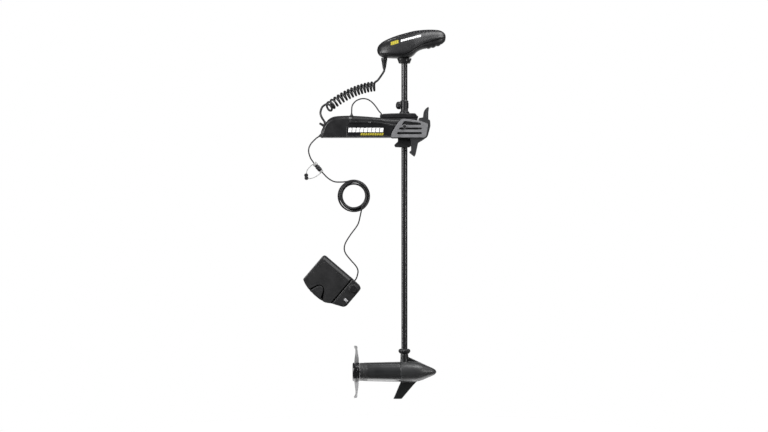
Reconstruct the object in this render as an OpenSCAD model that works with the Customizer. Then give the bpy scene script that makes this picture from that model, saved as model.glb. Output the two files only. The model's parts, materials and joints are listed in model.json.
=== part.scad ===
// Bow-mount electric trolling motor with a coiled head cord and a corded foot pedal.
// Frame: +X runs out over the bow, +Y to port, +Z up. The origin is on the steering shaft's
// axis, at the deck face under the mount. The motor is deployed, and all sizes are millimetres.

/* [Shaft and heights] */
// Outside diameter of the composite shaft
shaft_d = 27; // [25:0.5:28]
// Height of the underside of the head's clamp above the deck
head_z = 327; // [320:1:345]
// Depth of the motor's axis below the deck
motor_depth = 1035; // [900:5:1300]

/* [Motor] */
// Outside diameter of the motor tube
motor_d = 86; // [84:1:90]
// Length of the motor tube
tube_len = 147; // [140:1:160]
// Diameter of the circle that the propeller's tips run on
prop_d = 232; // [200:1:260]

/* [Bow mount] */
// Width over the two plastic covers
mount_w = 148; // [146:1:156]
// Spacing of the deck bolts along the mount
bolt_dx = 330; // [310:1:334]
// Spacing of the deck bolts across the mount
bolt_dy = 92; // [88:1:94]
// Diameter of the deck bolt holes
bolt_hole_d = 7; // [6:0.1:8]
// Height of the stow pivot above the deck
pivot_z = 26; // [26:0.5:28]
// Distance of the stow pivot inboard of the shaft
pivot_back = 108; // [106:1:110]

/* [Foot pedal and cords] */
// Angle that the pedal lies at, below level
pedal_angle = 40.5; // [30:0.5:50]
// Length of the pedal
pedal_len = 221; // [215:1:225]
// Turns of the coiled cord
coil_turns = 15; // [12:1:16]
// Diameter of the coiled cord
cord_d = 9; // [6:0.5:9]
// Diameter of the pedal's cable
cable_d = 6; // [5:0.5:6]

/* [Hidden] */
$fn = 64;

shaft_r = shaft_d / 2;
run_gap = 0.05; // radial clearance of a running fit
sleeve_r = shaft_r + 4;
case_w = 66; // width of the gearbox between the channel's walls
case_wall = 3;
wall_in = 34.5; // inner face of each channel wall
wall_t = 4;
plate_in = 71; // inner face of each side plate
plate_out = 77;
gear_teeth = 36;
pinion_teeth = 14;
gear_mod = 1.5;
gear_r = gear_mod * gear_teeth / 2;
pinion_x = -gear_mod * (gear_teeth + pinion_teeth) / 2;
gear_z = 64;
gear_h = 10;
latch_z = 47;
knob_z = 142;
seam_x = -18; // where the motor tube meets the nose casting
tube_back = seam_x - tube_len;
motor_r = motor_d / 2;
cap_back = tube_back - 32;
hub_front = cap_back - 1;
hub_back = hub_front - 31;
neck_top = -(motor_depth - 79);
black = [0.07, 0.07, 0.08];
charcoal = [0.16, 0.16, 0.17];
grey = [0.33, 0.34, 0.36];
steel = [0.75, 0.75, 0.76];

// ---------------------------------------------------------------- helpers

function unit(v) = v / norm(v);
function polar(r, a) = r * [cos(a), sin(a)];
function mix(a, b, t) = a * (1 - t) + b * t;

// A smooth curve through the points p, with n steps between neighbours
function curve(p, n) =
    let (last = len(p) - 1)
    [for (i = [0:last - 1], k = [0:n - 1])
        let (
            t = k / n,
            a = p[max(i - 1, 0)], b = p[i], c = p[i + 1], d = p[min(i + 2, last)]
        )
        0.5 * (2 * b + (c - a) * t + (2 * a - 5 * b + 4 * c - d) * t * t
            + (3 * b - a - 3 * c + d) * t * t * t),
     p[last]];

// A point that follows x and z, at the depth y
function at(x, z, y = 0) = [x, y, z];

// A solid through rings of points that run anticlockwise about the way the rings advance
module loft(rings) {
    n = len(rings[0]);
    m = len(rings);
    polyhedron(
        points = [for (r = rings) each r],
        faces = [
            [for (i = [0:n - 1]) i],
            for (j = [0:m - 2], i = [0:n - 1])
                let (k = (i + 1) % n) each [
                    [j * n + i, (j + 1) * n + i, (j + 1) * n + k],
                    [j * n + i, (j + 1) * n + k, j * n + k]
                ],
            [for (i = [n - 1:-1:0]) (m - 1) * n + i]
        ],
        convexity = 10
    );
}

// A round cable of diameter d along a path; first is a direction across its first stretch
module tube(path, d, first = [0, 1, 0], sides = 6) {
    last = len(path) - 1;
    ways = [for (i = [0:last]) unit(path[min(i + 1, last)] - path[max(i - 1, 0)])];
    sides_at = [
        for (i = 0, n = unit(cross(cross(ways[0], first), ways[0]));
             i <= last;
             i = i + 1, n = unit(n - (n * ways[min(i, last)]) * ways[min(i, last)])) n
    ];
    loft([for (i = [0:last])
        let (n = sides_at[i], b = cross(ways[i], n))
        [for (k = [0:sides - 1]) path[i] + d / 2 * (cos(360 * k / sides) * n + sin(360 * k / sides) * b)]
    ]);
}

// An outline drawn in x and z, made solid from y0 to y1
module upright(y0, y1) {
    translate([0, y1, 0]) rotate([90, 0, 0]) linear_extrude(y1 - y0) children();
}

// A cylinder along x, y or z from a to b, centred on p in the other two directions
module x_rod(a, b, p, r) translate([a, p[0], p[1]]) rotate([0, 90, 0]) cylinder(h = b - a, r = r);
module y_rod(a, b, p, r) translate([p[0], b, p[1]]) rotate([90, 0, 0]) cylinder(h = b - a, r = r);
module z_rod(a, b, p, r) translate([p[0], p[1], a]) cylinder(h = b - a, r = r);

module box(low, high) translate(low) cube(high - low);

module mirrored() {
    children();
    mirror([0, 1, 0]) children();
}

// A spur gear's outline: involute flanks, thinned by backlash so that two of them turn freely
module gear_outline(teeth, backlash = 0.15) {
    pitch_r = gear_mod * teeth / 2;
    base_r = pitch_r * cos(20);
    tip_r = pitch_r + gear_mod;
    root_r = pitch_r - 1.25 * gear_mod;
    roll_in = base_r > root_r ? 0 : sqrt(pow(root_r / base_r, 2) - 1) * 180 / PI;
    roll_out = sqrt(pow(tip_r / base_r, 2) - 1) * 180 / PI;
    half = 90 / teeth + tan(20) * 180 / PI - 20 - backlash / pitch_r * 90 / PI;
    flank = [for (k = [0:3])
        let (a = mix(roll_in, roll_out, k / 3))
        [base_r * sqrt(1 + pow(a * PI / 180, 2)), a - atan(a * PI / 180)]];
    polygon([for (i = [0:teeth - 1])
        let (c = 360 * i / teeth) each concat(
            [polar(root_r, c - half)],
            [for (f = flank) polar(f[0], c - half + f[1])],
            [for (k = [3:-1:0]) polar(flank[k][0], c + half - flank[k][1])],
            [polar(root_r, c + half)]
        )]);
}

// ---------------------------------------------------------------- bow mount

cover_outline = [
    [-368, 1], [-366, 17], [-342, 68], [-321, 86], [-297, 92.5],
    [-190, 94], [-130, 90], [-20, 81], [-38.5, 53], [-57.5, 20.5], [-59.5, 1]
];
cover_mid = -195;
channel_end = -196; // the open channel between the covers starts here
cover_wall = 3;
cover_out = mount_w / 2;
screw_x = [-335, -215, -85];
screw_y = 62;
bolt_mid = -155;
deck_end = 22; // in front of this the base's underside is raised clear of the deck

module cover_cavity() {
    fx = 1 - cover_wall / 173;
    fz = 1 - cover_wall / 94;
    polygon([for (p = cover_outline) [cover_mid + (p.x - cover_mid) * fx, p.y * fz - 1]]);
}

// The cable glands: a point on the cover, the tilt about y, the outer radius and the cable's diameter
glands = [
    [at(-346.5, 59, -30), -30, 6.9, cord_d], [at(-366.7, 10, -30), -120, 5.4, cable_d],
    [at(-233, 93.4, -28), 0, 5.4, cable_d]
];

module cover_shell() {
    difference() {
        upright(0.2, cover_out) polygon(cover_outline);
        difference() {
            upright(-1, cover_out - cover_wall) cover_cavity();
            box([channel_end - cover_wall, -2, -1], [0, 42, 100]);
        }
        box([channel_end, -1, -1], [0, wall_in + wall_t + 0.4, 100]);
        box([-380, -1, 33], [-325, 17, 78]);
        box([-360.5, -2, -1], [0, 70.5, 6.2]);
    }
    for (x = screw_x)
        difference() {
            union() {
                z_rod(6.2, 22, [x, screw_y], 4.5);
                box([x - 2, screw_y, 6.2], [x + 2, cover_out - 2, 22]);
            }
            z_rod(6, 20, [x, screw_y], 2);
        }
}

module starboard_cover() color(black)
    difference() {
        mirror([0, 1, 0]) cover_shell();
        for (g = glands) translate(g[0]) rotate([0, g[1], 0])
            cylinder(h = 20, r = g[2] + 0.1, center = true);
    }

module port_cover() color(black) cover_shell();

module deck_holes() for (x = [-1, 1], y = [-1, 1])
    z_rod(-2, 10, [bolt_mid + x * bolt_dx / 2, y * bolt_dy / 2], bolt_hole_d / 2);

module base_channel() color(charcoal)
    difference() {
        union() {
            box([-360, -70, 0], [58, 70, 6]);
            mirrored() {
                box([-192, wall_in, 6], [58, wall_in + wall_t, 70]);
                box([-345, 18, 6], [-331, 23, 49]);
            }
        }
        box([-60, -wall_in, -1], [60, wall_in, 7]);
        box([deck_end, -71, -1], [60, 71, 0.8]);
        deck_holes();
        mirrored() {
            for (x = screw_x) {
                z_rod(-1, 7, [x, screw_y], 2.1);
                z_rod(-1, 3.2, [x, screw_y], 4.2);
            }
            for (x = [-30, 10, 50]) z_rod(-1, 7, [x, screw_y], 2);
        }
        y_rod(-50, 50, [-pivot_back, pivot_z], 5.02);
        y_rod(-50, 0, [0, latch_z], 5.1);
        y_rod(-30, 30, [-338, 42], 3.05);
    }

plate_outline = [
    [-58, -2], [-56, 20], [-37, 52], [-17, 77], [-4, 80], [38, 76], [70, 70], [101, 59],
    [103.5, 52], [95, 4], [87, -2]
];
slots = [
    [[-12, 53], [74, 53], [72, 62], [4, 70], [-4, 68]],
    [[-27, 32], [74, 32], [76, 37], [74, 42], [-21, 42]],
    [[-34, 12], [74, 12], [77, 17], [74, 22], [-31, 22]]
];
ramp_bolts = [[87, 18], [91, 48]];

module side_plate() {
    difference() {
        union() {
            upright(plate_in, plate_out)
                difference() {
                    polygon(plate_outline);
                    for (s = slots) polygon(s);
                }
            y_rod(plate_in, plate_out, [0, latch_z], 9);
            box([-38, 54, 6.1], [57, plate_in + 1, 10]);
        }
        y_rod(plate_in - 1, plate_out + 1, [0, latch_z], 5.1);
        for (b = ramp_bolts) {
            y_rod(plate_in - 1, plate_out + 1, b, 3.05);
            y_rod(plate_out - 3, plate_out + 1, b, 5.2);
        }
        for (x = [-30, 10, 50]) z_rod(5, 11, [x, screw_y], 2.1);
    }
}

module port_side_plate() color(grey) side_plate();
module starboard_side_plate() color(grey) mirror([0, 1, 0]) side_plate();

ramp_outline = [
    [104, 133.5], [92.5, 125], [85.5, 115], [82, 87], [62, 84], [62, -1], [24, -1], [29, -18],
    [30, -57], [21, -65], [45, -84], [49, -76], [60, -23], [85, -8], [102, 4], [108, 26],
    [114, 49], [112.5, 75], [104.5, 78], [105, 112], [107.5, 129]
];

module ramp() {
    difference() {
        upright(52, plate_in - 0.2) polygon(ramp_outline);
        for (b = ramp_bolts) y_rod(56, plate_in, b, 3);
    }
    box([63, 53, 84], [80, 70, 88]);
}

module port_ramp() color(grey) ramp();
module starboard_ramp() color(grey) mirror([0, 1, 0]) ramp();

module mount_screws() color(steel) mirrored() {
    for (x = screw_x) {
        z_rod(0.6, 3, [x, screw_y], 4);
        z_rod(3, 19, [x, screw_y], 2);
    }
    for (x = [-30, 10, 50]) {
        z_rod(10, 12.5, [x, screw_y], 4.5);
        z_rod(1, 10, [x, screw_y], 2);
    }
    for (b = ramp_bolts) {
        y_rod(plate_out - 3, plate_out - 0.2, b, 5);
        y_rod(57, plate_out - 3, b, 3);
    }
}

module pivot_pin() color(steel) {
    y_rod(-38, 38, [-pivot_back, pivot_z], 5);
}

module control_board() color("darkgreen")
    difference() {
        union() {
            box([-312, -32, 22], [-212, 32, 24]);
            for (x = [-308, -216], y = [-28, 28]) z_rod(6, 22, [x, y], 4);
            box([-300, -24, 24], [-276, -4, 40]);
            box([-268, 2, 24], [-232, 26, 36]);
            for (i = [0:3]) box([-300 + 8 * i, 6, 24], [-297 + 8 * i, 26, 44]);
        }
        for (x = [-308, -216], y = [-28, 28]) z_rod(5, 30, [x, y], 1.5);
    }

module cable_glands() color(black)
    for (g = glands) translate(g[0]) rotate([0, g[1], 0])
        difference() {
            union() {
                cylinder(h = 14, r = g[2], center = true);
                translate([0, 0, 7]) cylinder(h = 5, r1 = g[2], r2 = g[2] - 0.6);
            }
            cylinder(h = 40, r = g[3] / 2 + 0.9, center = true);
        }

// The cable loop that gives the tilting gearbox its slack
module lead_loop() color(black) tube(
    curve([
        at(-233, 90, -28), at(-233, 108, -28), at(-230.5, 139, -28), at(-217, 158, -28),
        at(-199, 168, -28), at(-180, 171, -28), at(-161, 167, -28), at(-143, 155, -28),
        at(-127, 137, -28), at(-114, 118, -28), at(-103.5, 106, -28), at(-101.5, 98, -28)
    ], 4), cable_d - 1);

module release_lever() color(black) {
    y_rod(-23, 23, [-338, 42], 3);
    upright(-14, 14) polygon([
        [-332, 36], [-338, 49.5], [-365, 63.5], [-374, 67], [-377, 59], [-367, 52.5], [-344, 36]
    ]);
}

module latch_pin() color(steel) {
    y_rod(-85.2, -33.6, [0, latch_z], 5);
    y_rod(-88.2, -85.2, [0, latch_z], 6.5);
    y_rod(-62, -59, [0, latch_z], 8.5);
}

module latch_spring() color(steel) tube(
    [for (i = [0:48]) [7 * cos(i * 30), -70.1 + 0.15 * i, latch_z + 7 * sin(i * 30)]],
    1.4, [1, 0, 0]);

// ---------------------------------------------------------------- steering gearbox, which tilts

skirt_outline = [
    [-29, 9], [-29, -18], [-45, -33], [-41, -42], [-13, -43.5], [22, -43], [30, -36], [30, 9]
];
lid_outline = [[-104, 84.2], [-109, 91], [-107, 102], [-6, 107], [48, 106.5], [60, 92], [60, 84.2]];
lid_cavity = [[-98, 84], [-98, 95], [52, 98], [54, 84]];
lid_screws = [[-91, 27], [-34, 27], [46, 27]];
bush_r = sleeve_r + 3;
bush_low = [-43.5, -28];
bush_high = [92, 106];

module gearbox_case() color(grey)
    difference() {
        union() {
            box([-104, -case_w / 2, 8], [58, case_w / 2, 84]);
            upright(-24, 24) polygon(skirt_outline);
            mirrored() {
                y_rod(20, case_w / 2, [-pivot_back, pivot_z], 14);
                box([-pivot_back, 20, pivot_z - 14], [-100, case_w / 2, pivot_z + 14]);
            }
        }
        difference() {
            box([-98, -case_w / 2 + case_wall, 14], [54, case_w / 2 - case_wall, 85]);
            mirrored() for (s = lid_screws) z_rod(56, 84, s, 4);
        }
        mirrored() for (s = lid_screws) z_rod(64, 85, s, 1.5);
        z_rod(-30, 20, [0, 0], sleeve_r + 1);
        z_rod(-50, bush_low[1], [0, 0], bush_r);
        y_rod(-50, 50, [-pivot_back, pivot_z], 5 + run_gap);
        y_rod(-50, 0, [0, latch_z], 5.4);
    }

module gearbox_cover() color(black)
    difference() {
        union() {
            difference() {
                upright(-34, 34) polygon(lid_outline);
                upright(-30, 30) polygon(lid_cavity);
            }
            mirrored() for (s = lid_screws) z_rod(84.2, 99, s, 4);
        }
        z_rod(80, 120, [0, 0], bush_r);
        mirrored() for (s = lid_screws) {
            z_rod(80, 100, s, 1.6);
            z_rod(99, 120, s, 3.2);
        }
        z_rod(94, 110, [-101.5, -28], cable_d / 2 + 0.2);
    }

module gearbox_screws() color(steel) mirrored() for (s = lid_screws) {
    z_rod(66, 99, s, 1.5);
    z_rod(99, 101.5, s, 3);
}

module sleeve_bushings() color("ivory") for (b = [bush_low, bush_high])
    difference() {
        z_rod(b[0], b[1], [0, 0], bush_r);
        z_rod(b[0] - 1, b[1] + 1, [0, 0], sleeve_r + run_gap);
    }

module steering_motor() color(steel)
    difference() {
        union() {
            z_rod(14, 60, [pinion_x, 0], 18);
            z_rod(60, 62, [pinion_x, 0], 8);
        }
        z_rod(50, 63, [pinion_x, 0], 3 + run_gap);
    }

module motor_pinion() color("gold") {
    translate([pinion_x, 0, gear_z]) rotate(180 / pinion_teeth) linear_extrude(gear_h) gear_outline(pinion_teeth);
    z_rod(51, 80, [pinion_x, 0], 3);
}

// ---------------------------------------------------------------- parts that steer with the sleeve

module steering_gear() color("ivory")
    difference() {
        translate([0, 0, gear_z]) linear_extrude(gear_h) gear_outline(gear_teeth);
        z_rod(gear_z - 1, gear_z + gear_h + 1, [0, 0], sleeve_r);
    }

module drive_sleeve() color(steel)
    difference() {
        union() {
            z_rod(-43, 107.5, [0, 0], sleeve_r);
            z_rod(107.5, 111, [0, 0], sleeve_r + 2.5);
        }
        z_rod(-50, 120, [0, 0], shaft_r + run_gap);
    }

module depth_collar() color(black)
    difference() {
        union() {
            z_rod(111.4, 163.5, [0, 0], shaft_r + 3);
            x_rod(-25, -10, [0, knob_z], 9);
        }
        z_rod(100, 170, [0, 0], shaft_r + run_gap);
        x_rod(-30, 0, [0, knob_z], 4.05);
        box([0, -1, 100], [30, 1, 170]);
    }

module collar_knob() color(black) {
    x_rod(-28, -14.5, [0, knob_z], 4);
    difference() {
        union() {
            translate([-38, 0, knob_z]) rotate([0, 90, 0]) cylinder(h = 8, r1 = 12, r2 = 17.5);
            x_rod(-30, -17, [0, knob_z], 17.5);
        }
        x_rod(-27, -16, [0, knob_z], 10);
        for (i = [0:6]) x_rod(-40, -16, [0, knob_z] + polar(20, 360 * i / 7), 4);
    }
}

// ---------------------------------------------------------------- shaft and control head

module shaft_tube() color(charcoal)
    difference() {
        z_rod(neck_top - 42, head_z + 44, [0, 0], shaft_r);
        z_rod(neck_top - 50, head_z + 50, [0, 0], shaft_r - 3.5);
    }

// Heights above the clamp's underside, and half widths, along the head
head_top = [
    [-121, 63], [-116, 75], [-102, 91], [-84, 102], [-57, 115], [-26, 126], [6, 135], [42, 144],
    [73, 148], [107, 150], [141, 149], [161, 145], [173, 137], [179, 127], [181, 119]
];
head_under = [
    [-121, 55], [-117, 43], [-110, 33], [-102, 28], [-73, 24], [-55, 23], [24, 23], [37, 35],
    [46, 46], [64, 57], [85, 64], [107, 66], [141, 76], [161, 82], [170, 90], [179, 101], [181, 107]
];
// Height of the seam between the head's two shells, above the clamp's underside
head_split = [
    [-121, 59], [-117, 48], [-110, 42], [-98, 39.5], [-26, 37], [8, 40], [19, 46], [35, 57],
    [51, 67], [85, 87], [119, 100], [157, 109], [181, 113]
];
head_width = [[-121, 12], [-117, 26], [-104, 41], [-80, 52], [-30, 57], [30, 53], [80, 42], [128, 33], [157, 29], [174, 20], [181, 8]];
head_stations = [-121, -117, -110, -98, -80, -55, -26, 4, 24, 37, 51, 68, 85, 107, 130, 150, 166, 176, 181];

function head_seam(x) = head_z + lookup(x, head_split);

// Half of the head's cross-section at x, thinned by wall; way is 1 for the upper half and -1 below
function head_ring(x, wall, way) =
    let (
        inner = wall > 0,
        w = lookup(x, head_width) - wall,
        z = head_seam(x) - (inner ? way : 0),
        h = abs(head_z + lookup(x, way > 0 ? head_top : head_under) - z) - wall,
        n = 10
    )
    [for (i = [0:n])
        let (t = 180 * i / n + (way > 0 ? 0 : 180), c = cos(t), s = sin(t))
        [x, w * sign(c) * pow(abs(c), 0.75), z + h * sign(s) * pow(abs(s), 0.75)]];

module head_half(way) {
    n = len(head_stations) - 1;
    difference() {
        loft([for (x = head_stations) head_ring(x, 0, way)]);
        loft([for (i = [2:n - 2]) head_ring(head_stations[i], 3, way)]);
    }
}

module head_upper() color(black) head_half(1);

module head_lower() color(black) difference() {
    union() {
        head_half(-1);
        for (x = [108, 124, 140]) translate([x, 0, head_z + lookup(x, head_under) + 4])
            rotate([90, 0, 0]) cylinder(h = 30, r = 7, center = true);
        for (x = [-60, -20], y = [-28, 28]) z_rod(head_z + 25, head_z + 60, [x, y], 4);
    }
    z_rod(head_z, head_z + 40, [0, 0], shaft_r + 0.2);
    z_rod(head_z, head_z + 40, [-89, 0], 8);
}

module head_clamp() color(black)
    difference() {
        translate([0, 0, head_z]) cylinder(h = 22.8, r1 = 25, r2 = 32);
        z_rod(head_z - 1, head_z + 30, [0, 0], shaft_r);
        y_rod(-40, 40, [17, head_z + 12], 3.1);
        y_rod(-40, -24, [17, head_z + 12], 5.6);
        y_rod(18, 40, [17, head_z + 12], 6.1);
        box([0, -1, head_z - 1], [40, 1, head_z + 30]);
    }

module head_fasteners() color(steel) {
    y_rod(-27, -24, [17, head_z + 12], 5.4);
    y_rod(-24, 24, [17, head_z + 12], 3);
    difference() {
        translate([17, 22.5, head_z + 12]) rotate([90, 0, 0]) cylinder(h = 4.5, r = 5.8, $fn = 6);
        y_rod(10, 30, [17, head_z + 12], 3.02);
    }
}

module head_board() color("darkgreen") {
    box([-66, -34, head_z + 60], [-14, 34, head_z + 62]);
    box([-58, -20, head_z + 62], [-40, 0, head_z + 70]);
    z_rod(head_z + 62, head_z + 76, [-28, 14], 6);
}

module strain_relief() color(black)
    difference() {
        union() {
            z_rod(head_z - 6, head_z + 30, [-89, 0], 7.9);
            for (i = [0:3]) z_rod(head_z + 12 - 9 * i, head_z + 17 - 9 * i, [-89, 0], 11 - i);
            z_rod(head_z - 26, head_z - 6, [-89, 0], 6.5);
        }
        z_rod(head_z - 30, head_z + 40, [-89, 0], cord_d / 2 + 0.6);
    }

// The coil's axis is a parabola from beside the head to the inboard end of the mount
coil_a = at(-128, 227, -6);
coil_b = at(-234, 216, -14);
coil_c = at(-341, 128, -26);
coil_r = 18.5;
coil_steps = 12;
coil_open = 1.3; // how far the last turns swing round to face starboard

function coil_axis(t) = mix(mix(coil_a, coil_b, t), mix(coil_b, coil_c, t), t);
function coil_point(t) =
    let (
        ahead = unit(mix(coil_b - coil_a, coil_c - coil_b, t)),
        way = unit(ahead - [0, coil_open * pow(t, 12), 0]),
        up = unit(cross([0, 1, 0], way)),
        turn = 360 * coil_turns * t
    )
    coil_axis(t) + coil_r * (cos(turn) * up + sin(turn) * cross(way, up));

module coil_cord() color(black) tube(
    concat(
        curve([at(-89, head_z + 6), at(-89, head_z - 28), at(-93.5, head_z - 39, -1),
            at(-101, head_z - 51, -2), at(-117, head_z - 73, -3)], 3),
        [for (i = [1:coil_steps * coil_turns]) coil_point(i / coil_steps / coil_turns)],
        curve([at(-362.5, 134, -22), at(-369, 118, -23), at(-370, 103, -27), at(-363.3, 86, -30),
            at(-352.5, 69.4, -30), at(-344, 54.7, -30)], 3)
    ), cord_d);

// ---------------------------------------------------------------- motor pod

bolt_r = 34; // the through bolts run this far from the motor's axis
nose_outline = [
    [seam_x, 0], [seam_x, 45.5], [0, 46], [25, 45], [52, 43], [75, 37.5], [91, 31], [111, 22.5],
    [122, 18], [132, 13], [138, 7.5], [140.3, 3.5], [141, 0]
];
fin_outline = [[10, 67.5], [17, 66.5], [124, 18.5], [136, 8], [136, 3], [10, 3]];
skeg_outline = [[-16, -30], [-16, -46], [-50, -120], [-11, -120], [56, -40], [56, -30]];

module along_pod() translate([0, 0, -motor_depth]) children();

// A ring or disc about the motor's axis
module pod_ring(a, b, outer, inner = 0) along_pod() difference() {
    x_rod(a, b, [0, 0], outer);
    if (inner > 0) x_rod(a - 1, b + 1, [0, 0], inner);
}

module nose_housing() color(charcoal)
    difference() {
        union() {
            along_pod() rotate([0, 90, 0]) rotate_extrude() polygon([for (p = nose_outline) [p.y, p.x]]);
            along_pod() upright(-4, 4) polygon(fin_outline);
            along_pod() upright(-4.5, 4.5) polygon(skeg_outline);
            z_rod(-motor_depth, neck_top, [0, 0], 17.5);
        }
        z_rod(neck_top - 42.2, neck_top + 1, [0, 0], shaft_r + run_gap);
        z_rod(-motor_depth, neck_top, [0, 0], 9);
        pod_ring(seam_x - 1, seam_x + 4, 29);
        pod_ring(seam_x, seam_x + 18, 11 + run_gap);
        along_pod() for (s = [-1, 1]) x_rod(seam_x - 1, seam_x + 22, [0, s * bolt_r], 2.5);
    }

module neck_nut() color(black)
    difference() {
        union() {
            z_rod(neck_top + 0.2, neck_top + 8, [0, 0], 21);
            z_rod(neck_top + 8, neck_top + 23, [0, 0], 26.5);
        }
        z_rod(neck_top - 1, neck_top + 30, [0, 0], shaft_r + run_gap);
        for (i = [0:11]) z_rod(neck_top + 7, neck_top + 30, polar(28, 30 * i), 3);
    }

module motor_tube() color(black) along_pod() difference() {
    translate([tube_back, 0, 0]) rotate([0, 90, 0])
        cylinder(h = tube_len - 0.2, r1 = motor_r - 1.8, r2 = motor_r + 1.6);
    x_rod(tube_back - 1, seam_x + 1, [0, 0], motor_r - 3.5);
}

module field_magnets() color("dimgray") along_pod() for (a = [20, 200])
    translate([tube_back + 18, 0, 0]) rotate([a, 0, 0]) rotate([0, 90, 0]) rotate_extrude(angle = 140)
        translate([31, 0]) square([motor_r - 3.6 - 31, 90]);

module end_cap() color(black)
    difference() {
        union() {
            pod_ring(cap_back, tube_back - 8, 40);
            pod_ring(tube_back - 8, tube_back - 0.2, motor_r - 2);
            pod_ring(tube_back - 0.3, tube_back + 6, motor_r - 5.6);
        }
        pod_ring(cap_back - 1, tube_back + 7, 6.5);
        pod_ring(cap_back - 1, cap_back + 10, 11 + run_gap);
        pod_ring(tube_back - 14, tube_back + 7, 11 + run_gap);
        along_pod() for (s = [-1, 1]) {
            x_rod(cap_back - 1, tube_back + 7, [0, s * bolt_r], 2.6);
            x_rod(cap_back - 1, cap_back + 4, [0, s * bolt_r], 4.6);
        }
    }

module through_bolts() color(steel) along_pod() for (s = [-1, 1]) {
    x_rod(cap_back + 0.5, cap_back + 4, [0, s * bolt_r], 4.4);
    x_rod(cap_back + 4, seam_x + 19, [0, s * bolt_r], 2.45);
}

module brush_carrier() color("saddlebrown") along_pod()
    difference() {
        union() {
            difference() {
                x_rod(-42, -36, [0, 0], motor_r - 3.55);
                x_rod(-43, -35, [0, 0], 18);
            }
            for (s = [-1, 1]) box([-44, s * 24 - 9.7, -5], [-28, s * 24 + 9.7, 5]);
        }
        x_rod(-50, -20, [0, 0], 14.3);
        for (s = [-1, 1]) x_rod(-50, -20, [0, s * bolt_r], 3);
    }

module motor_bearings() color(steel)
    for (b = [[tube_back - 13.8, tube_back - 2], [seam_x + 9, seam_x + 18]])
        pod_ring(b[0], b[1], 11, 5 + run_gap);

module motor_seals() color("firebrick") {
    pod_ring(cap_back + 0.5, cap_back + 9.5, 11, 5 + run_gap);
    pod_ring(tube_back + 1, tube_back + 4, motor_r - 3.6, motor_r - 5.5);
}

module armature() color("peru") {
    pod_ring(tube_back + 20, tube_back + 106, 29.5, 5);
    pod_ring(tube_back + 10, tube_back + 20, 22, 5);
    pod_ring(tube_back + 106, tube_back + 114, 22, 5);
}

module commutator() color("peru") pod_ring(-48, -24, 14, 5);

module output_shaft() color(steel) difference() {
    pod_ring(hub_back + 4, seam_x + 17, 5);
    along_pod() y_rod(-10, 10, [hub_front - 4, 0], 2.5);
}

module drive_pin() color(steel) along_pod() y_rod(-14, 14, [hub_front - 4, 0], 2.5);

module prop_nut() color(steel) along_pod() difference() {
    translate([hub_back + 4, 0, 0]) rotate([0, 90, 0]) cylinder(h = 8, r = 10, $fn = 6);
    x_rod(hub_back, hub_back + 20, [0, 0], 5.02);
}

// Blade sections: radius, half chord, half thickness, pitch from the disc's plane, set-back
blade_root = 34;
blade = [
    for (s = [0:0.1:1])
        let (r = mix(blade_root, prop_d / 2, s))
        [
            r, 21 + 9 * sin(150 * s) - 19 * pow(s, 4), mix(3.2, 1.2, s),
            mix(26, 8, s) + 24 * pow(s, 10), -6 * pow(s, 8)
        ]
];

function blade_ring(b) = [for (i = [0:9])
    let (
        a = 36 * i, q = 90 - b[3],
        along = b[1] * cos(a), across = b[2] * sin(a),
        lift = b[1] * b[1] / 260 * (pow(cos(a), 2) - 0.5)
    )
    [
        (hub_front + hub_back) / 2 + 2 + b[4] + along * cos(q) - (across - lift) * sin(q),
        along * sin(q) + (across - lift) * cos(q),
        b[0]
    ]];

module propeller() color(grey) difference() {
    union() {
        pod_ring(hub_back, hub_front, 41.5);
        along_pod() for (a = [0, 180]) rotate([a, 0, 0]) loft([for (b = blade) blade_ring(b)]);
    }
    pod_ring(hub_back - 1, hub_front + 1, 5.03);
    pod_ring(hub_back - 1, hub_back + 12, 15);
    along_pod() box([hub_front - 6.6, -14.5, -2.6], [hub_front + 1, 14.5, 2.6]);
}

// ---------------------------------------------------------------- foot pedal and its cable

pedal_corner = at(-352, -514, -100);
pedal_outline = [
    [0, -4], [4, 0], [166, 0], [pedal_len - 15, -3], [pedal_len - 4, -9], [pedal_len, -20],
    [pedal_len, -108], [pedal_len - 7, -120],
    [166, -142], [140, -157], [114, -163], [82, -164], [48, -160], [20, -152], [0, -142]
];
plate_end = 160;
rock_y = -80;
rock_z = 30;
button_outline = [[55, -161.5], [70, -120], [78, -114], [90, -114], [98, -120], [116, -161]];
button_at = [86, -142];
cable_in = 176; // where the cable enters the pedal's top edge
board_posts = [-106, -58];
dial_at = [195, -32];
switch_at = [203, -90];

module on_pedal() translate(pedal_corner) rotate([90, pedal_angle, 0]) children();

module pedal_base() color(charcoal) on_pedal()
    difference() {
        union() {
            linear_extrude(18) polygon(pedal_outline);
            intersection() {
                linear_extrude(44) polygon(pedal_outline);
                box([plate_end + 5, -200, 0], [300, 50, 44]);
            }
            for (x = [26, 126]) {
                box([x - 5, rock_y - 6.5, 17], [x + 5, rock_y + 6.5, rock_z]);
                x_rod(x - 5, x + 5, [rock_y, rock_z], 6.5);
            }
            z_rod(43, 46, dial_at, 20);
        }
        box([6, -130, -1], [150, -14, 15]);
        difference() {
            box([plate_end + 9, -116, -1], [212, -12, 41]);
            for (y = board_posts) z_rod(22, 42, [178, y], 4);
        }
        x_rod(10, 140, [rock_y, rock_z], 3.02);
        z_rod(40, 50, dial_at, 6);
        box([switch_at.x - 4, switch_at.y - 9, 40], [switch_at.x + 4, switch_at.y + 9, 45]);
        z_rod(6, 20, button_at, 3 + run_gap);
        translate([cable_in, -14, 22]) rotate([-90, 0, 0]) cylinder(h = 20, r = cable_d / 2 + 0.5);
    }

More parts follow.
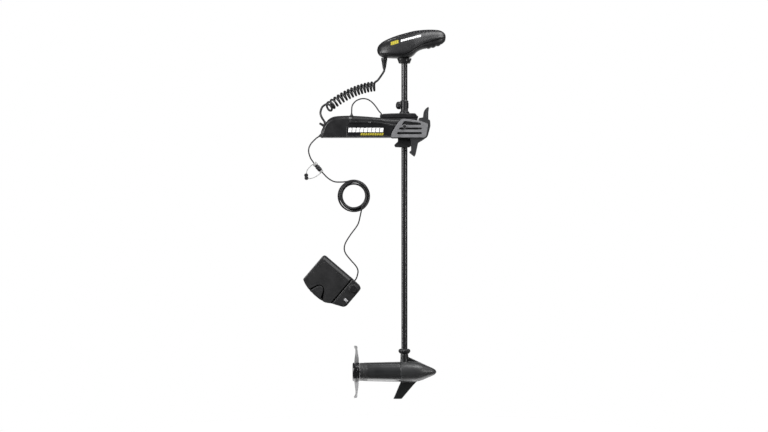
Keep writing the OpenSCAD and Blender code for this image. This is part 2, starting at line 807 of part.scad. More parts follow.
module foot_plate() color(charcoal) on_pedal()
    difference() {
        union() {
            translate([0, 0, 37]) linear_extrude(12) intersection() {
                polygon(pedal_outline);
                translate([-1, -200]) square([plate_end + 1, 230]);
            }
            for (x = [44, 108]) {
                box([x - 5, rock_y - 7, rock_z], [x + 5, rock_y + 7, 38]);
                x_rod(x - 5, x + 5, [rock_y, rock_z], 7);
            }
        }
        x_rod(20, 140, [rock_y, rock_z], 3 + run_gap);
        translate([0, 0, 30]) linear_extrude(30) polygon([
            [48, -170], [64, -118], [74, -109], [94, -109], [104, -118], [124, -170]
        ]);
    }

module pedal_pivot_pin() color(steel) on_pedal() x_rod(18, 134, [rock_y, rock_z], 3);

module momentary_button() color(black) on_pedal() {
    translate([0, 0, 40]) linear_extrude(9) polygon(button_outline);
    z_rod(12, 40.1, button_at, 3);
}

module button_spring() color(steel) on_pedal() tube(
    [for (i = [0:72]) [button_at.x + 5 * cos(30 * i), button_at.y + 5 * sin(30 * i), 18.7 + i * 20.6 / 72]],
    1.2, [0, 0, 1]);

module speed_dial() color(black) on_pedal() difference() {
    union() {
        z_rod(46.2, 53, dial_at, 17);
        z_rod(42, 46.3, dial_at, 5.8);
    }
    for (i = [0:17]) z_rod(45, 54, dial_at + polar(18, 20 * i), 1.6);
}

module mode_switch() color("silver") on_pedal() {
    box([switch_at.x - 3.6, switch_at.y - 4, 41], [switch_at.x + 3.6, switch_at.y + 4, 44.2]);
    box([switch_at.x - 7, switch_at.y - 4.5, 44.2], [switch_at.x + 7, switch_at.y + 4.5, 48]);
}

module pedal_board() color("darkgreen") on_pedal() {
    box([170, -114, 20], [211, -14, 21.9]);
    z_rod(21.9, 38, dial_at, 8);
    box([switch_at.x - 6, switch_at.y - 10, 21.9], [switch_at.x + 4, switch_at.y + 10, 38]);
}

module pedal_sole() color(black) on_pedal() {
    translate([0, 0, -2]) linear_extrude(1.95) polygon(pedal_outline);
    for (p = [[18, -20], [200, -26], [196, -104], [24, -132]]) z_rod(-5, -1.9, p, 9);
}

// A point on the pedal: u and v across its face, w off its underside
function on_pedal_at(u, v, w) = pedal_corner + at(
    u * cos(pedal_angle) + v * sin(pedal_angle), v * cos(pedal_angle) - u * sin(pedal_angle), -w);

ring_mid = at(-222, -258.5, -130);
bundle_turns = 7;
bundle_r = 60;
bundle_start = 112;
bundle_end = -52;

// A turn of the bundled cable: each lap takes another place in the bundle's round section
function bundle_point(t) =
    let (
        a = mix(bundle_start, bundle_end - 360 * bundle_turns, t),
        lap = (bundle_start - a) / 360 * 132,
        r = bundle_r + 8.5 * cos(lap)
    )
    ring_mid + at(r * cos(a), r * sin(a), 8.5 * sin(lap));

module pedal_cable() color(black) {
    tube(curve([
        at(-362.4, 12.5, -30), at(-374.5, 5.5, -30), at(-392, -7, -36), at(-414, -33, -60), at(-421, -60, -88),
        at(-413, -90, -112), at(-402.5, -107, -128), at(-391, -120.5, -130)
    ], 4), cable_d);
    tube(concat(
        curve([
            at(-366, -149, -130), at(-356, -160, -130), at(-335, -181, -130), at(-308, -196, -128), at(-275, -198, -126)
        ], 4),
        [for (i = [0:24 * bundle_turns]) bundle_point(i / 24 / bundle_turns)],
        curve([
            at(-194, -345, -128), at(-205, -384, -124), at(-235, -426, -122), at(-258, -463, -122),
            at(-264, -489, -122), at(-257, -512, -122), at(-236, -539, -122), at(-213, -565, -122),
            at(-204, -586, -122), at(-207, -607, -122), on_pedal_at(cable_in, 8, 22),
            on_pedal_at(cable_in, -7, 22)
        ], 3)
    ), cable_d);
}

module plug_frame(p) translate(p) rotate([0, 90 + atan2(30, 26), 0]) children();

module cable_plugs() color(black) {
    difference() {
        plug_frame(at(-394, -117, -130)) cylinder(h = 17, r = 9);
        plug_frame(at(-394, -117, -130)) translate([0, 0, -1]) cylinder(h = 8, r = cable_d / 2 + 0.6);
    }
    difference() {
        plug_frame(at(-382.5, -130.3, -130)) cylinder(h = 26, r = 10);
        plug_frame(at(-382.5, -130.3, -130)) translate([0, 0, 19]) cylinder(h = 8, r = cable_d / 2 + 0.6);
    }
    translate(at(-431, -166, -130)) rotate([90, 0, 20]) cylinder(h = 12, r = 8, center = true);
    translate(at(-428, -184, -130)) rotate([90, 0, 20]) cylinder(h = 12, r = 8, center = true);
}

module tether(points) tube(curve(points, 4), 3);

module cap_tethers() color([0.75, 0.75, 0.76]) {
    for (p = [at(-397.3, -113.2, -130), at(-362.3, -153.6, -130)]) plug_frame(p) difference() {
        cylinder(h = 3.5, r = 8.5, center = true);
        cylinder(h = 5, r = cable_d / 2 + 1.5, center = true);
    }
    tether([at(-402, -118, -130), at(-418, -134, -134), at(-427, -146, -134), at(-430, -155, -130)]);
    tether([at(-367, -158, -130), at(-388, -170, -134), at(-404, -179, -134), at(-418, -184, -130)]);
}

// ---------------------------------------------------------------- assembly

base_channel();
starboard_cover();
port_cover();
starboard_side_plate();
port_side_plate();
starboard_ramp();
port_ramp();
mount_screws();
pivot_pin();
control_board();
cable_glands();
pedal_cable();
cable_plugs();
cap_tethers();
lead_loop();
coil_cord();
release_lever();
latch_pin();
latch_spring();
gearbox_case();
gearbox_cover();
sleeve_bushings();
steering_motor();
gearbox_screws();
motor_pinion();
steering_gear();
drive_sleeve();
depth_collar();
collar_knob();
shaft_tube();
head_lower();
head_upper();
head_board();
head_fasteners();
head_clamp();
strain_relief();
neck_nut();
nose_housing();
motor_tube();
field_magnets();
end_cap();
through_bolts();
brush_carrier();
motor_bearings();
motor_seals();
armature();
commutator();
output_shaft();
propeller();
drive_pin();
prop_nut();
pedal_base();
foot_plate();
pedal_pivot_pin();
momentary_button();
button_spring();
speed_dial();
mode_switch();
pedal_board();
pedal_sole();
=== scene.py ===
import json
from math import cos, hypot, pi, radians, sin, tau

import bmesh
import bpy
from mathutils import Matrix, Vector
from mathutils.bvhtree import BVHTree

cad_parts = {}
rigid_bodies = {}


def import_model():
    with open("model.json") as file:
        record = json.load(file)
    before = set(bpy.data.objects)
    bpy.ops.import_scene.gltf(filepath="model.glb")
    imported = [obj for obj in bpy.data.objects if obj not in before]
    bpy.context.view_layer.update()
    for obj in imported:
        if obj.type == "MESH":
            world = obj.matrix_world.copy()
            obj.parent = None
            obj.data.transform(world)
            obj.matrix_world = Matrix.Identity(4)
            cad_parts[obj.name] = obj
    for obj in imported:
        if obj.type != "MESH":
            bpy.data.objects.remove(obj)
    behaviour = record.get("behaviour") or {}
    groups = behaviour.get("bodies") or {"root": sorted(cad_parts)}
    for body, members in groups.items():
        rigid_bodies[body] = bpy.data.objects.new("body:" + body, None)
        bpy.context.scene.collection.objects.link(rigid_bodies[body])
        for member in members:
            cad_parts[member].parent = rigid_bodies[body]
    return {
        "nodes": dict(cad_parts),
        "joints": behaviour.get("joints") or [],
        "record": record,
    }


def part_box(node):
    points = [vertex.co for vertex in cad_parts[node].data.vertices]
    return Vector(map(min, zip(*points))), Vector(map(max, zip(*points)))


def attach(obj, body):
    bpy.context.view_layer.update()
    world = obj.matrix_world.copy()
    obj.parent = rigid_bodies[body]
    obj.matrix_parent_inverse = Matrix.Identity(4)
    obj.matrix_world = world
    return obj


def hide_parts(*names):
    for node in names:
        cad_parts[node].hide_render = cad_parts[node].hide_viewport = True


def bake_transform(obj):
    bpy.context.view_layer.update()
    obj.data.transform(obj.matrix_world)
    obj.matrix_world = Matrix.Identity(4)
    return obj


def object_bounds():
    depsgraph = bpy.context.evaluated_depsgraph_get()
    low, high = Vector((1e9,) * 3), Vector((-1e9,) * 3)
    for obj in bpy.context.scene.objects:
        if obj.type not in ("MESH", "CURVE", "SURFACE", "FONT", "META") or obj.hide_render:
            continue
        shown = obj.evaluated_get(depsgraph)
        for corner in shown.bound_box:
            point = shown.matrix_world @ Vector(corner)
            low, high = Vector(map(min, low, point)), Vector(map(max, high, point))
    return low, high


# The looks of the bow-mount trolling motor, built round its CAD frame.
# Shapes are written in millimetres in the frame's axes: +X over the bow, +Y to port, +Z up.

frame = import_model()
cad_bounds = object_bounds()

MM = 0.001
WELD = 0.005 * MM  # points closer than this are one point
slot_of = {s["node"]: s["material_slot"] for s in frame["record"]["subparts"]}
joint = {j["name"]: j for j in frame["joints"]}


def box(node):
    """A CAD node's lowest and highest corner, in millimetres."""
    low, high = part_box(node)
    return low / MM, high / MM


def middle(node):
    low, high = box(node)
    return (low + high) / 2


def joint_at(name):
    return Vector(joint[name]["pos_m"]) / MM


# ---- curves and outlines

def spline(points, steps):
    """A smooth curve through points of any dimension, with steps between neighbours."""
    p = [Vector(q) for q in points]
    last = len(p) - 1
    out = []
    for i in range(last):
        a, b, c, d = p[max(i - 1, 0)], p[i], p[i + 1], p[min(i + 2, last)]
        for k in range(steps):
            t = k / steps
            out.append(0.5 * (2 * b + (c - a) * t + (2 * a - 5 * b + 4 * c - d) * t * t
                              + (3 * b - a - 3 * c + d) * t ** 3))
    return out + [p[last]]


def at(table, x):
    """The value of a table of (x, value) pairs at x, held at both ends."""
    if x <= table[0][0]:
        return table[0][1]
    for (x0, y0), (x1, y1) in zip(table, table[1:]):
        if x <= x1:
            return y0 + (y1 - y0) * (x - x0) / (x1 - x0)
    return table[-1][1]


def ease(t):
    t = min(max(t, 0.0), 1.0)
    return t * t * (3 - 2 * t)


def rounded(outline, radius, steps=5, closed=True):
    """The outline with each corner turned into an arc-like curve."""
    p = [Vector(q) for q in outline]
    out = []
    for i, b in enumerate(p):
        if not closed and i in (0, len(p) - 1):
            out.append(b)
            continue
        a, c = p[i - 1], p[(i + 1) % len(p)]
        r = min(radius, 0.45 * (a - b).length, 0.45 * (c - b).length)
        start, end = b + (a - b).normalized() * r, b + (c - b).normalized() * r
        out += [start.lerp(b, k / steps).lerp(b.lerp(end, k / steps), k / steps) for k in range(steps + 1)]
    return out


def scallops(depth, count, start, run):
    """Hollows round an edge, as a change of radius that grows from start over run."""
    return lambda a, t: -depth * (0.5 - 0.5 * cos(count * a)) ** 2 * ease((t - start) / run)


def sign(i):
    return (i > 0) - (i < 0)


def polar(r, a):
    return r * cos(a), r * sin(a)


def circle(centre, r, steps=28):
    return [Vector(centre) + Vector(polar(r, tau * i / steps)) for i in range(steps)]


def corners(left, low, right, high):
    return [(left, low), (right, low), (right, high), (left, high)]


# ---- meshes

def add(name, verts, faces, finish, sharp=38, paint=None):
    """A mesh from millimetres, smooth but for edges over sharp degrees; paint picks each face's finish."""
    mesh = bpy.data.meshes.new(name)
    mesh.from_pydata([Vector(v) * MM for v in verts], [], faces)
    for m in finish if isinstance(finish, list) else [finish]:
        mesh.materials.append(m)
    bm = bmesh.new()
    bm.from_mesh(mesh)
    bmesh.ops.remove_doubles(bm, verts=bm.verts, dist=WELD)
    bmesh.ops.dissolve_degenerate(bm, edges=bm.edges, dist=WELD)
    bmesh.ops.recalc_face_normals(bm, faces=bm.faces)
    for f in bm.faces:
        f.smooth = True
        if paint:
            f.material_index = paint(f.calc_center_median() / MM, f.normal)
    for e in bm.edges:
        if len(e.link_faces) == 2 and e.calc_face_angle(0) > radians(sharp):
            e.smooth = False
    bm.to_mesh(mesh)
    bm.free()
    obj = bpy.data.objects.new(name, mesh)
    bpy.context.scene.collection.objects.link(obj)
    return obj


def lofted(rings, closed=True, caps=True, wrap=False):
    """Vertices and faces that join rings of equal length."""
    n, count = len(rings[0]), len(rings)
    verts = [p for ring in rings for p in ring]
    faces = []
    for i in range(count if wrap else count - 1):
        a, b = i * n, (i + 1) % count * n
        for k in range(n if closed else n - 1):
            m = (k + 1) % n
            faces.append((a + k, a + m, b + m, b + k))
    if caps and not wrap:
        faces += [tuple(range(n)), tuple(range((count - 1) * n, count * n))]
    return verts, faces


def merged(*parts):
    verts, faces = [], []
    for v, f in parts:
        faces += [tuple(i + len(verts) for i in face) for face in f]
        verts += list(v)
    return verts, faces


def tube(path, radius, sides=14):
    """A round tube along a path; radius may be one number or one for each point."""
    p = [Vector(q) for q in path]
    radii = radius if isinstance(radius, list) else [radius] * len(p)
    way = (p[1] - p[0]).normalized()
    side = way.orthogonal().normalized()
    rings = []
    for i, q in enumerate(p):
        new = (p[min(i + 1, len(p) - 1)] - p[max(i - 1, 0)]).normalized()
        side = (way.rotation_difference(new) @ side).normalized()
        way = new
        up = way.cross(side)
        rings.append([q + radii[i] * (cos(tau * k / sides) * side + sin(tau * k / sides) * up)
                      for k in range(sides)])
    return lofted(rings)


AXES = {"x": lambda t, u, v: Vector((t, u, v)), "y": lambda t, u, v: Vector((v, t, u)), "z": lambda t, u,
        v: Vector((u, v, t)), }


def revolved(profile, axis, centre, steps=96, lobes=None):
    """A closed profile of (along, radius) points turned about an axis; lobes(angle, along) is added to r."""
    centre = Vector(centre)
    rings = []
    for i in range(steps):
        a = tau * i / steps
        ring = []
        for t, r in profile:
            r += lobes(a, t) if lobes and r > 0 else 0
            ring.append(centre + AXES[axis](t, *polar(r, a)))
        rings.append(ring)
    return lofted(rings, wrap=True)


XZ = Matrix(((1, 0, 0, 0), (0, 0, -1, 0), (0, 1, 0, 0), (0, 0, 0, 1)))  # drawn in x and z, raised along -y


def slab(outlines, low, high, edge, place=XZ, steps=3):
    """Vertices and faces of a flat piece with holes, from low to high, with its edges rounded by edge."""
    data = bpy.data.curves.new("outline", "CURVE")
    data.dimensions, data.fill_mode = "2D", "BOTH"
    data.extrude = (high - low) / 2 - edge
    data.bevel_depth, data.bevel_resolution, data.offset = edge, steps, -edge
    for outline in outlines:
        run = data.splines.new("POLY")
        run.points.add(len(outline) - 1)
        for point, q in zip(run.points, outline):
            point.co = (q[0], q[1], 0, 1)
        run.use_cyclic_u = True
    obj = bpy.data.objects.new("outline", data)
    bpy.context.scene.collection.objects.link(obj)
    bpy.context.view_layer.update()
    mesh = bpy.data.meshes.new_from_object(obj.evaluated_get(bpy.context.evaluated_depsgraph_get()))
    shift = Vector((0, 0, (low + high) / 2))
    verts = [(place @ (v.co + shift).to_4d()).to_3d() for v in mesh.vertices]
    faces = [tuple(f.vertices) for f in mesh.polygons]
    for block, store in ((obj, bpy.data.objects), (data, bpy.data.curves), (mesh, bpy.data.meshes)):
        store.remove(block)
    return verts, faces


def block(low, high, edge):
    """A box with rounded edges."""
    return slab([rounded(corners(low[0], low[2], high[0], high[2]), edge)], -high[1], -low[1], edge)


def modify(obj, kind, **settings):
    modifier = obj.modifiers.new(kind.lower(), kind)
    for key, value in settings.items():
        setattr(modifier, key, value)
    return obj


def even(obj):
    """Flat faces shade flat and rounded edges stay soft."""
    return modify(obj, "WEIGHTED_NORMAL", keep_sharp=True)


def bake(obj):
    """Turns an object's modifiers into its mesh."""
    bpy.context.view_layer.update()
    mesh = bpy.data.meshes.new_from_object(obj.evaluated_get(bpy.context.evaluated_depsgraph_get()))
    obj.modifiers.clear()
    obj.data = mesh
    return obj


def fused(name, shape, finish, cell, smooth):
    """Overlapping closed shapes turned into one casting, with small fillets where they meet."""
    obj = add(name, *shape, finish)
    modify(obj, "REMESH", mode="VOXEL", voxel_size=cell * MM, use_smooth_shade=True)
    modify(obj, "SMOOTH", factor=0.5, iterations=smooth)
    return bake(obj)


def stands_for(obj, body, *nodes):
    """obj rides on a body and is shown in place of CAD nodes."""
    if body:
        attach(obj, body)
    if nodes:
        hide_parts(*nodes)
    return obj


# ---- material nodes

class Shader:
    """A material's node tree, with short calls for the nodes that these finishes share."""

    def __init__(self, name):
        self.material = bpy.data.materials.new(name)
        self.material.use_nodes = True
        self.tree = self.material.node_tree
        self.surface = self.tree.nodes["Principled BSDF"]
        self.place = self.node("ShaderNodeTexCoord").outputs["Object"]

    def node(self, kind, inputs=None, **settings):
        made = self.tree.nodes.new(kind)
        for key, value in settings.items():
            setattr(made, key, value)
        for key, value in (inputs or {}).items():
            self.wire(made.inputs[key], value)
        return made

    def wire(self, socket, value):
        if isinstance(value, bpy.types.NodeSocket):
            self.tree.links.new(value, socket)
        else:
            socket.default_value = value

    def noise(self, size, detail=4.0, rough=0.6, stretch=(1, 1, 1)):
        """Noise whose features are about size millimetres, drawn out along an axis by stretch."""
        scaled = self.node("ShaderNodeVectorMath", {0: self.place, 1: [1 / s for s in stretch]},
                           operation="MULTIPLY").outputs[0]
        return self.node("ShaderNodeTexNoise", {"Vector": scaled, "Scale": 1 / (size * MM), "Detail": detail,
                                                "Roughness": rough}).outputs["Fac"]

    def span(self, value, low, high, from_low=0.3, from_high=0.7):
        """A value spread over a new range."""
        return self.node("ShaderNodeMapRange", {"Value": value, "From Min": from_low, "From Max": from_high,
                                                "To Min": low, "To Max": high}).outputs["Result"]

    def mix(self, share, a, b, kind="MIX"):
        made = self.node("ShaderNodeMix", data_type="RGBA", blend_type=kind)
        self.wire(made.inputs["Factor"], share)
        self.wire(made.inputs["A"], a)
        self.wire(made.inputs["B"], b)
        return made.outputs["Result"]

    def shade(self, share, colour, low, high):
        """The colour times low to high, as share's pattern rises."""
        return self.mix(self.span(share, 0, 1), tone(colour, low), tone(colour, high))

    def maths(self, kind, a, b=0.0):
        return self.node("ShaderNodeMath", {0: a, 1: b}, operation=kind).outputs[0]

    def bump(self, height, depth, after=None):
        """Relief of depth millimetres."""
        inputs = {"Height": height, "Distance": depth * MM, "Strength": 1.0}
        if after:
            inputs["Normal"] = after
        return self.node("ShaderNodeBump", inputs).outputs["Normal"]

    def facing_up(self):
        normal = self.node("ShaderNodeNewGeometry").outputs["Normal"]
        return self.node("ShaderNodeSeparateXYZ", {0: normal}).outputs["Z"]

    def finish(self, **values):
        for key, value in values.items():
            self.wire(self.surface.inputs[key.replace("_", " ")], value)
        return self.material


def tone(colour, gain=1.0):
    return [min(1.0, c * gain) for c in colour[:3]] + [1.0]


def moulded(name, colour, rough, grain=0.9, relief=0.012, dust=0.02, shine=0.5):
    """Moulded plastic: tool grain, slow shade changes, rubbed patches and a little dust on top."""
    s = Shader(name)
    slow, pores, fine = s.noise(38, 3), s.noise(grain, 5), s.noise(grain / 4, 2)
    body = s.shade(slow, colour, 0.84, 1.18)
    body = s.mix(s.span(pores, 0.0, 0.4, 0.5, 0.72), body, tone(colour, 1.5))
    settled = s.maths("MULTIPLY", s.span(s.facing_up(), 0, dust, 0.2, 1.0), s.span(s.noise(11, 6), 0.3, 1.0))
    body = s.mix(settled, body, (0.36, 0.35, 0.34, 1))
    gloss = s.maths("ADD", s.span(slow, rough - 0.05, rough + 0.05), s.span(pores, -0.04, 0.05))
    relief_map = s.bump(pores, relief, s.bump(fine, relief * 0.4))
    return s.finish(Base_Color=body, Roughness=gloss, Normal=relief_map, Specular_IOR_Level=shine)


def enamel(name, colour, rough, coat=0.6, peel=0.008):
    """Baked enamel: orange peel, fine flecks and a thin clear coat."""
    s = Shader(name)
    slow, peel_map, flecks = s.noise(60, 3), s.noise(2.4, 2, 0.4), s.noise(0.25, 2)
    body = s.shade(slow, colour, 0.85, 1.2)
    body = s.mix(s.span(flecks, 0, 0.5, 0.62, 0.75), body, tone(colour, 3.0))
    gloss = s.maths("ADD", s.span(slow, rough - 0.04, rough + 0.05), s.span(s.noise(5, 5), -0.02, 0.03))
    return s.finish(Base_Color=body, Roughness=gloss, Normal=s.bump(peel_map, peel),
                    Coat_Weight=coat, Coat_Roughness=0.12)


def pultruded(name, colour):
    """The composite shaft: resin over long fibres that run up it."""
    s = Shader(name)
    fibres = s.noise(0.9, 5, 0.7, stretch=(1, 1, 60))
    bands = s.noise(9, 3, stretch=(1, 1, 25))
    body = s.shade(fibres, colour, 0.7, 1.5)
    body = s.mix(s.span(bands, 0, 0.5), body, tone(colour, 1.25))
    return s.finish(Base_Color=body, Roughness=s.span(fibres, 0.22, 0.31), Normal=s.bump(fibres, 0.004),
                    Coat_Weight=0.35, Coat_Roughness=0.2)


def jacket(name, colour, rough=0.42):
    """A cord's extruded jacket: faint pits and scuffs."""
    s = Shader(name)
    scuffs, pits = s.noise(3.5, 6, 0.7), s.noise(0.5, 3)
    body = s.shade(scuffs, colour, 0.75, 1.5)
    body = s.mix(s.span(scuffs, 0, 0.3, 0.6, 0.75), body, tone(colour, 4))
    return s.finish(Base_Color=body, Roughness=s.span(scuffs, rough - 0.08, rough + 0.12),
                    Normal=s.bump(pits, 0.02))


def machined(name, colour, rough=0.28, stretch=(1, 1, 14)):
    """Bare metal with tool marks, stains and small scratches."""
    s = Shader(name)
    marks, stains, scratches = s.noise(0.35, 3, stretch=stretch), s.noise(14, 5), s.noise(1.1, 8, 0.8)
    body = s.shade(marks, colour, 0.8, 1.1)
    body = s.mix(s.span(stains, 0, 0.35, 0.5, 0.8), body, tone(colour, 0.55))
    gloss = s.maths("ADD", s.span(marks, rough - 0.06, rough + 0.1), s.span(scratches, -0.03, 0.06))
    return s.finish(Base_Color=body, Metallic=1.0, Roughness=gloss, Normal=s.bump(marks, 0.01))


def clear_vinyl(name):
    """Clear flexible vinyl: cloudy, with a waxy surface."""
    s = Shader(name)
    haze = s.noise(6, 4)
    return s.finish(Base_Color=s.mix(s.span(haze, 0, 1), (0.5, 0.5, 0.5, 1), (0.68, 0.68, 0.67, 1)),
                    Roughness=s.span(haze, 0.18, 0.34), Transmission_Weight=0.45, IOR=1.5,
                    Normal=s.bump(s.noise(0.8), 0.02))


def circuit(name, colour):
    """A circuit board: solder mask with copper tracks under it and pale pads."""
    s = Shader(name)
    cells = s.node("ShaderNodeTexVoronoi", {"Vector": s.place, "Scale": 1 / (4 * MM)}, distance="CHEBYCHEV",
                   feature="F2").outputs["Distance"]
    tracks = s.node("ShaderNodeTexBrick", {"Vector": s.place, "Scale": 1 / (9 * MM),
                                           "Mortar Size": 0.03}).outputs["Fac"]
    body = s.mix(s.span(tracks, 0, 0.6, 0, 1), tone(colour), tone(colour, 2.2))
    body = s.mix(s.span(cells, 0, 0.8, 0.95, 1.05), body, (0.75, 0.72, 0.6, 1))
    return s.finish(Base_Color=body, Roughness=s.span(s.noise(3), 0.25, 0.4), Normal=s.bump(tracks, 0.05))


def wound(name, colour):
    """Copper windings on steel laminations."""
    s = Shader(name)
    wires = s.node("ShaderNodeTexWave", {"Vector": s.place, "Scale": 1 / (5 * MM), "Distortion": 0.6},
                   bands_direction="X").outputs["Fac"]
    body = s.mix(wires, tone(colour, 0.45), tone(colour, 1.1))
    return s.finish(Base_Color=body, Metallic=0.9, Roughness=s.span(s.noise(2), 0.25, 0.45),
                    Normal=s.bump(wires, 0.2))


def sintered(name, colour):
    """Ferrite: ground flat, with pores."""
    s = Shader(name)
    pores = s.noise(0.7, 8, 0.8)
    body = s.shade(pores, colour, 0.5, 1.3)
    return s.finish(Base_Color=body, Roughness=s.span(pores, 0.5, 0.75), Normal=s.bump(pores, 0.08))


def printed(name, colour):
    """Label ink: a little worn, with the panel's grain under it."""
    s = Shader(name)
    wear, grain = s.noise(5, 6, 0.7), s.noise(0.9, 4)
    body = s.mix(s.span(wear, 0, 0.25, 0.55, 0.8), tone(colour), tone(colour, 0.6))
    return s.finish(Base_Color=body, Roughness=s.span(grain, 0.35, 0.5), Normal=s.bump(grain, 0.02))


LOOKS = {
    "black_plastic": moulded("black_plastic", (0.011, 0.011, 0.012), 0.36),
    "charcoal_plastic": moulded("charcoal_plastic", (0.028, 0.028, 0.03), 0.4),
    "pedal_plastic": moulded("pedal_plastic", (0.02, 0.02, 0.021), 0.42, grain=1.3),
    "grey_plastic": moulded("grey_plastic", (0.175, 0.175, 0.182), 0.45),
    "channel_paint": moulded("channel_paint", (0.015, 0.015, 0.016), 0.4, grain=1.6, relief=0.05),
    "motor_paint": enamel("motor_paint", (0.02, 0.021, 0.022), 0.34),
    "nose_paint": enamel("nose_paint", (0.034, 0.035, 0.036), 0.42, coat=0.1, peel=0.015),
    "composite_shaft": pultruded("composite_shaft", (0.012, 0.012, 0.013)),
    # the blades' light grey is partly their own grey and partly painted reflection: the plastic is lifted to
    # the brightness that reflected light gives them
    "prop_plastic": moulded("prop_plastic", (0.34, 0.34, 0.345), 0.32, shine=0.6),
    "stainless": machined("stainless", (0.62, 0.62, 0.63)),
    "zinc_steel": machined("zinc_steel", (0.55, 0.56, 0.58), 0.36),
    "aluminium_sleeve": machined("aluminium_sleeve", (0.68, 0.69, 0.7), 0.3, (14, 14, 1)),
    "brass_pinion": machined("brass_pinion", (0.75, 0.55, 0.25)),
    "acetal": moulded("acetal", (0.76, 0.74, 0.68), 0.35),
    "circuit_board": circuit("circuit_board", (0.02, 0.16, 0.06)),
    "cord_rubber": jacket("cord_rubber", (0.009, 0.009, 0.01)),
    "clear_vinyl": clear_vinyl("clear_vinyl"),
    "seal_rubber": jacket("seal_rubber", (0.12, 0.03, 0.025), 0.6),
    "ferrite": sintered("ferrite", (0.12, 0.12, 0.125)),
    "copper": wound("copper", (0.72, 0.42, 0.25)),
    "light_plastic": moulded("light_plastic", (0.5, 0.5, 0.51), 0.35),
}
GLOSS_PANEL = enamel("gloss_panel", (0.006, 0.006, 0.007), 0.24, coat=0.3, peel=0.003)
# painted shade: a darker paint that makes the brow, skeg and neck of the nose casting look shaded
FIN_PAINTED_SHADE = enamel("fin_painted_shade", (0.011, 0.0115, 0.012), 0.3, coat=0.3, peel=0.01)
LABEL_BLACK = moulded("label_black", (0.008, 0.008, 0.009), 0.3, grain=0.6, relief=0.02)
LABEL_WHITE = printed("label_white", (0.95, 0.95, 0.95))
LABEL_YELLOW = printed("label_yellow", (0.4, 0.34, 0.028))


def look(node):
    return LOOKS[slot_of[node]]


def piece(name, body, node, *shapes, sharp=38, crisp=True):
    """One mesh of several shapes that stands for a CAD node; crisp keeps its flat faces flat."""
    obj = add(name, *merged(*shapes), look(node), sharp)
    return stands_for(even(obj) if crisp else obj, body, node)


# ---- labels

LABEL_LIFT, LABEL_GRID, OUTSIDE = 0.25, (10, 5), 300


def decal(name, target, side, cells, paint):
    """Thin shapes that lie on target. A cell is four corners in x and z; side is -1 to starboard."""
    bpy.context.view_layer.update()
    tree = BVHTree.FromObject(target, bpy.context.evaluated_depsgraph_get())
    parts = []
    for a, b, c, d in cells:
        rows = []
        for i in range(LABEL_GRID[0] + 1):
            row = []
            for k in range(LABEL_GRID[1] + 1):
                low = Vector(a).lerp(Vector(b), i / LABEL_GRID[0])
                high = Vector(d).lerp(Vector(c), i / LABEL_GRID[0])
                x, z = low.lerp(high, k / LABEL_GRID[1])
                hit, normal, _, _ = tree.ray_cast(Vector((x, side * OUTSIDE, z)) * MM, Vector((0, -side, 0)))
                row.append(hit / MM + normal * LABEL_LIFT if hit else None)
            rows.append(row)
        if all(q is not None for row in rows for q in row):
            parts.append(lofted(rows, closed=False, caps=False))
    return add(name, *merged(*parts), paint)


def dashes(start, end, height, count, gap, lean):
    """A row of leaning bars from start to end, as corners in x and z."""
    start, end = Vector(start), Vector(end)
    step = (end - start) / count
    along = step.normalized()
    up = Vector((-along.y, along.x)) * height
    tip = up + along * height * lean
    cells = []
    for i in range(count):
        a = start + step * i
        b = a + step * (1 - gap)
        cells.append((a, b, b + tip, a + tip))
    return cells


# ---- control head

head_z = box("head_clamp")[0].z  # the underside of the clamp; heights of the head are above it
HEAD_TOP = [(-121, 59), (-116.5, 76), (-103, 91), (-84, 103), (-57, 115), (-26, 126), (6, 135), (42, 144),
            (74, 148), (107, 150), (141, 149), (161, 145), (174, 137), (181, 127), (182.5, 114)]
HEAD_LOW = [(-121, 59), (-118, 46), (-110, 35), (-95, 27.5), (-70, 24), (-35, 22.5), (8, 22.5), (34, 31),
            (58, 53), (84, 64), (116, 68), (146, 77), (166, 86), (179, 99), (182.5, 114)]
HEAD_WIDE = [0, 24, 39, 48, 54.5, 57, 56, 52, 46, 39.5, 33.5, 29.5, 23.5, 14, 0]
HEAD_SEAM = [(-121, 58), (-112, 45), (-98, 39.5), (-71, 37.5), (-26, 36.5), (0, 39), (19, 46), (51, 66),
             (85, 86), (119, 99), (157, 109), (182, 114)]
HEAD_STEPS, HEAD_SHELL = 9, 2.6
GRIP_BUMPS, BUMP_CREST, BUMP_PITCH = (96, 163), 107, 22.4  # finger grips under the bow end
PANEL_COLUMNS = range(15, 33)  # the glossy panel on top of the head


def head_sections():
    """Top point, low point, half width and seam share for each section of the head."""
    rows = spline([(*t, *b, w) for t, b, w in zip(HEAD_TOP, HEAD_LOW, HEAD_WIDE)], HEAD_STEPS)
    for tx, tz, bx, bz, w in rows:
        seam = at(HEAD_SEAM, bx + 0.3 * (tx - bx))
        share = min(max((seam - bz) / max(tz - bz, 0.01), 0.1), 0.9)
        yield Vector((tx, 0, tz + head_z)), Vector((bx, 0, bz + head_z)), max(w, 0), share


def head_upper_shell():
    rings = []
    for top, low, w, share in head_sections():
        edge = low.lerp(top, share)
        ring = []
        for i in range(-24, 25):
            a = i / 24 * pi / 2
            f = abs(cos(a)) ** 0.8
            lip = 1.6 * ease((abs(i) - 19) / 4) * min(w / 20, 1)
            groove = 0.7 * max(0, 1 - abs(abs(i) - 9)) * min(w / 20, 1)
            y = (w + lip) * (abs(sin(a)) ** 0.86) * sign(i)
            ring.append(edge.lerp(top, f) + Vector((0, y - groove * (1 if y > 0 else -1), -groove)))
        rings.append(ring)
    verts, faces = lofted(rings, closed=False, caps=False)
    obj = add("head_upper_shell", verts, faces, [look("head_upper"), GLOSS_PANEL], sharp=60)
    width = len(rings[0]) - 1
    for i, face in enumerate(obj.data.polygons):
        face.material_index = 1 if i % width in PANEL_COLUMNS else 0
    modify(obj, "SOLIDIFY", thickness=HEAD_SHELL * MM, offset=-1)
    return stands_for(obj, "shaft", "head_upper")


